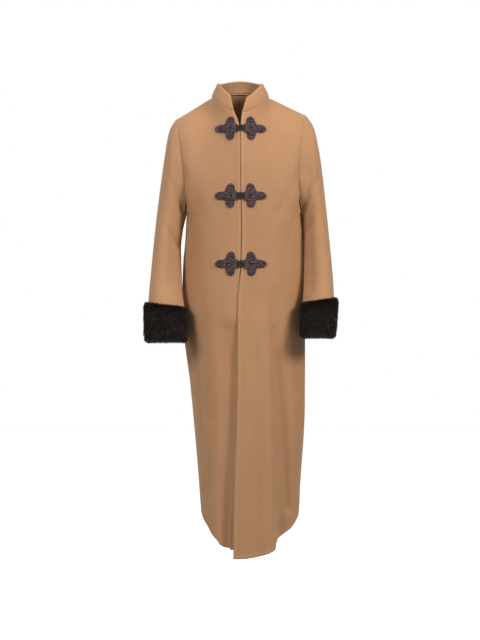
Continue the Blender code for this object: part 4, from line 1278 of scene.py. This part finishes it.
def surface_finder(points):
    """Finds the outer face of a front under a point given by x and z."""
    rows, columns = points.shape[:2]
    quads = [(i * columns + j, i * columns + j + 1, (i + 1) * columns + j + 1, (i + 1) * columns + j)
             for i in range(rows - 1) for j in range(columns - 1)]
    tree = BVHTree.FromPolygons(points.reshape(-1, 3).tolist(), quads)

    def find(x, z):
        place, normal, _, _ = tree.ray_cast(Vector((x, FINDER_START_Y, z)), Vector((0.0, 1.0, 0.0)))
        if place is None:
            place, normal, _, _ = tree.find_nearest(Vector((x, OPENING[0]["front"], z)))
        return place, (normal if normal.y < 0 else -normal)
    return find


def cord_mesh(name, cords, radius, roundness=1):
    """One mesh of round cords that follow lists of points. A cord is a pair: points, closed or not."""
    curve = bpy.data.curves.new(name, "CURVE")
    curve.dimensions = "3D"
    curve.bevel_depth = radius
    curve.bevel_resolution = roundness
    curve.use_fill_caps = True
    for points, closed in cords:
        spline = curve.splines.new("POLY")
        spline.points.add(len(points) - 1)
        for node, place in zip(spline.points, points):
            node.co = (*place, 1.0)
        spline.use_cyclic_u = closed
    rough = bpy.data.objects.new(name + "_curve", curve)
    bpy.context.scene.collection.objects.link(rough)
    bpy.context.view_layer.update()
    evaluated = rough.evaluated_get(bpy.context.evaluated_depsgraph_get())
    mesh = bpy.data.meshes.new_from_object(evaluated)
    bpy.data.objects.remove(rough, do_unlink=True)
    mesh.name = name
    mesh.shade_smooth()
    return mesh


def lobe_width(t):
    """Half width of a round-ended lobe along its length, as a share of its widest place."""
    end = max((t - LOBE_WIDEST) / (1.0 - LOBE_WIDEST), 0.0)
    return (LOBE_FOOT + LOBE_SWELL * smooth(t / LOBE_WIDEST)) * (1.0 - end ** LOBE_TAPER) ** LOBE_ROUND


def lobe_lines(angle, length):
    """Cords of one lobe in the leaf's plane: plaited pairs of strands, and the cord round its edge."""
    way = (math.cos(math.radians(angle)), math.sin(math.radians(angle)))

    def place(t, aside, lift):
        run = LOBE_START + (length - LOBE_START) * t
        return (way[0] * run - way[1] * aside, way[1] * run + way[0] * aside, lift)

    lines = []
    for strand in range(STRANDS):
        line = []
        for step in range(LOBE_STEPS + 1):
            t = STRAND_END * step / LOBE_STEPS
            turn = 2 * math.pi * (LOBE_TURNS * t + strand / STRANDS)
            aside = STRAND_SWING * LOBE_WIDTH * lobe_width(t) * math.sin(turn)
            wave = math.sin(2 * turn + math.pi * strand)
            line.append(place(t, aside, BRAID_LIFT + BRAID_WAVE * wave))
        lines.append(line)
    rim = [place(step / LOBE_STEPS, LOBE_WIDTH * lobe_width(step / LOBE_STEPS), EDGE_CORD_LIFT)
           for step in range(LOBE_STEPS)]
    other = [place(step / LOBE_STEPS, -LOBE_WIDTH * lobe_width(step / LOBE_STEPS), EDGE_CORD_LIFT)
             for step in range(LOBE_STEPS, -1, -1)]
    lines.append(rim + other)
    return lines


def make_leaf(number, side, find, centre, height):
    """One half of a frog: three braided lobes on a near-black sheet of painted shade, and a flat band linked
    to the knot.
    """
    name = f"frog_{number}_{side}"

    def on_cloth(x, z, lift):
        place, normal = find(centre + SIDES[side] * x, height + z)
        return place + normal * lift

    make_lobes(name, on_cloth)
    make_shade_pad(name, on_cloth)
    make_band(name, on_cloth)


def make_lobes(name, on_cloth):
    """Three lobes of plaited cord."""
    cords = []
    for angle, length in LOBES:
        for line in lobe_lines(angle, length):
            cords.append(([on_cloth(LEAF_MIDDLE + x, z, lift) for x, z, lift in line], False))
    leaf = show("braid_" + name, cord_mesh(name, cords, BRAID_RADIUS), BRAID)
    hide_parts(name)


def make_shade_pad(name, on_cloth):
    """A near-black sheet under the lobes: painted shade that shows between their cords."""
    rings = []
    for share, lift in SHADE_PAD_RINGS:
        ring = []
        for step in range(SHADE_PAD_STEPS):
            angle = 360.0 * step / SHADE_PAD_STEPS
            reach = leaf_radius(angle) * share
            ring.append(on_cloth(LEAF_MIDDLE + reach * math.cos(math.radians(angle)),
                                 reach * math.sin(math.radians(angle)), lift))
        rings.append(ring)
    shade_pad = sheet_mesh(name + "_pad", as_array(rings), closed=True)
    merge_doubles(shade_pad, seal=True)
    # Painted shade: the knot's near-black finish, laid under the cords
    show("pad_" + name, shade_pad, KNOT)


def make_band(name, on_cloth):
    """The flat band of upright cords, and the short cords that link it to the knot."""
    bands = []
    for column in range(BAND_CORDS):
        x = BAND_START + column * BAND_STEP
        line = [on_cloth(x, BAND_HALF * (2 * step / BAND_POINTS - 1), BAND_LIFT)
                for step in range(BAND_POINTS + 1)]
        bands.append((line, False))
    show("band_" + name, cord_mesh(name + "_band", bands, BAND_RADIUS), BAND)
    links = []
    for z in LINK_PLACES:
        line = [on_cloth(LINK_START + (BAND_START - LINK_START) * step / LINK_POINTS, z, LINK_LIFT)
                for step in range(LINK_POINTS + 1)]
        links.append((line, False))
    show("link_" + name, cord_mesh(name + "_link", links, LINK_RADIUS, roundness=2), KNOT)


def make_fastening(number, finders, centre, height):
    """The twisted cord loop and the knotted button that it holds."""
    spot, normal = finders["left"](centre + EDGE_STEP, height)
    out = Vector((0.0, normal.y, normal.z)).normalized()
    across = Vector((1.0, 0.0, 0.0))
    up = out.cross(across)
    seat = Vector((centre, spot.y, spot.z))
    rise = 0.0
    for step in range(LOOP_STEPS):
        turn = 2 * math.pi * step / LOOP_STEPS
        foot = seat + (across * math.cos(turn) + up * math.sin(turn)) * LOOP_RADIUS
        under = finders["left" if math.cos(turn) > 0.0 else "right"](foot.x, foot.z)[0]
        rise = max(rise, (under - seat).dot(out))
    middle = seat + out * (rise + LOOP_CORD + LEAF_STANDOFF)

    def over_seat(x, z, lift):
        return middle + across * x + up * z + out * lift

    make_loop(number, over_seat)
    make_knot(number, over_seat)
    make_core(number, over_seat)


def make_loop(number, over_seat):
    """The loop: two cords twisted round each other."""
    ropes = []
    offset = LOOP_CORD - ROPE_RADIUS
    for strand in range(ROPE_STRANDS):
        line = []
        for step in range(ROPE_STEPS):
            turn = 2 * math.pi * step / ROPE_STEPS
            twist = ROPE_TURNS * turn + 2 * math.pi * strand / ROPE_STRANDS
            reach = LOOP_RADIUS + offset * math.cos(twist)
            line.append(over_seat(math.cos(turn) * reach, math.sin(turn) * reach, offset * math.sin(twist)))
        ropes.append((line, True))
    loop = show(f"braid_frog_{number}_loop", cord_mesh(f"loop_{number}", ropes, ROPE_RADIUS), BRAID)
    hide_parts(f"frog_{number}_loop")


def make_knot(number, over_seat):
    """The button's coiled cord."""
    line = []
    for step in range(KNOT_STEPS):
        turn = 2 * math.pi * KNOT_ROUNDS * step / KNOT_STEPS
        reach = KNOT_REACH + KNOT_SWING * math.cos(KNOT_BENDS * turn)
        crown = KNOT_CROWN * (1.0 - (reach / KNOT_WIDE) ** 2)
        lift = BUTTON_LIFT + crown + KNOT_WAVE * math.sin(KNOT_BENDS * turn)
        line.append(over_seat(math.cos(turn) * reach, math.sin(turn) * reach, lift))
    knot = cord_mesh(f"button_{number}", [(line, True)], KNOT_RADIUS, roundness=2)
    button = show(f"knot_frog_{number}_button", knot, KNOT)
    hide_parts(f"frog_{number}_button")


def make_core(number, over_seat):
    """The flattened ball under the button's cord."""
    bm = bmesh.new()
    bmesh.ops.create_icosphere(bm, subdivisions=3, radius=BUTTON_RADIUS * CORE_SHARE)
    for vert in bm.verts:
        vert.co = over_seat(vert.co.x, vert.co.z, BUTTON_LIFT - vert.co.y * BUTTON_FLATNESS)
    bmesh.ops.recalc_face_normals(bm, faces=bm.faces)
    core = bpy.data.meshes.new(f"button_core_{number}")
    bm.to_mesh(core)
    bm.free()
    core.shade_smooth()
    show(f"core_frog_{number}_button", core, KNOT)


def make_light(name, place, target, size, power, colour):
    """A round soft lamp, turned to its target."""
    lamp = bpy.data.lights.new(name, "AREA")
    lamp.shape = "DISK"
    lamp.size = size
    lamp.energy = power
    lamp.color = colour
    holder = bpy.data.objects.new(name, lamp)
    holder.location = place
    aim = Vector(target) - Vector(place)
    holder.rotation_euler = aim.to_track_quat("-Z", "Y").to_euler()
    bpy.context.scene.collection.objects.link(holder)


def make_camera(scene):
    """A camera with the photograph's view, level with the photograph's middle."""
    lens = bpy.data.cameras.new("camera")
    lens.sensor_width = SENSOR
    lens.lens = SENSOR * CAMERA_DISTANCE / (PHOTO_HEIGHT * SCALE)
    camera = bpy.data.objects.new("camera", lens)
    camera.location = ((PHOTO_WIDTH / 2 - CENTRE_PIXEL) * SCALE, -CAMERA_DISTANCE,
                       (NECK_PIXEL - PHOTO_HEIGHT / 2) * SCALE)
    camera.rotation_euler = (math.radians(90.0), 0.0, 0.0)
    scene.collection.objects.link(camera)
    scene.camera = camera


def make_world(scene):
    """Soft light from all round, and a white backdrop that only the camera sees."""
    world = bpy.data.worlds.new("studio")
    scene.world = world
    world.use_nodes = True
    sky = Nodes(world.node_tree)
    light = sky.tree.nodes["Background"]
    sky.feed(light.inputs["Color"], WHITE)
    sky.feed(light.inputs["Strength"], WORLD_LIGHT)
    backdrop = sky.node("ShaderNodeBackground", Color=WHITE, Strength=BACKDROP_LIGHT)
    ray = sky.node("ShaderNodeLightPath")
    pick = sky.node("ShaderNodeMixShader")
    sky.feed(pick.inputs[0], Value(sky, ray.outputs["Is Camera Ray"]))
    sky.feed(pick.inputs[1], Value(sky, light.outputs[0]))
    sky.feed(pick.inputs[2], Value(sky, backdrop.outputs[0]))
    sky.feed(sky.tree.nodes["World Output"].inputs["Surface"], Value(sky, pick.outputs[0]))


def make_floor(scene):
    """A plain pale floor. Its glow is hidden from diffuse rays, so that it doesn't light the coat."""
    bm = bmesh.new()
    bmesh.ops.create_grid(bm, x_segments=1, y_segments=1, size=FLOOR_SIZE,
                          matrix=Matrix.Translation((0.0, 0.0, HEM_LOWEST_Z - FLOOR_DROP)))
    mesh = bpy.data.meshes.new("floor")
    bm.to_mesh(mesh)
    bm.free()
    floor = bpy.data.objects.new("floor", mesh)
    scene.collection.objects.link(floor)
    floor.visible_diffuse = False
    finish = Finish("pale_floor", Roughness=0.9, Base_Color=FLOOR_COLOUR, Specular_IOR_Level=0.1,
                    Emission_Color=WHITE, Emission_Strength=FLOOR_GLOW)
    mesh.materials.append(finish.material)


def make_set():
    """Camera, soft studio light and floor."""
    scene = bpy.context.scene
    scene.view_settings.view_transform = "Standard"
    make_camera(scene)
    make_world(scene)
    for lamp in LAMPS:
        make_light(**lamp)
    make_floor(scene)


WOOL = wool_finish()
FUR = fur_finish()
PELT = pelt_finish()
BRAID = braid_finish("dark_braid", BRAID_DARK, BRAID_LIGHT)
BAND = braid_finish("band_braid", BAND_DARK, BAND_LIGHT)
KNOT = braid_finish("knot_braid", KNOT_DARK, KNOT_LIGHT)
fronts = {side: make_front(side) for side in SIDES}
make_back()
for side in SIDES:
    make_sleeve(side)
make_collar()
for side, seed in FUR_SEEDS.items():
    make_cuff(side, seed)
finders = {side: surface_finder(points) for side, points in fronts.items()}
for number, (centre, height) in enumerate(zip(FROG_CENTRES, FROG_HEIGHTS), start=1):
    for side in SIDES:
        make_leaf(number, side, finders[side], centre, height)
    make_fastening(number, finders, centre, height)
make_set()
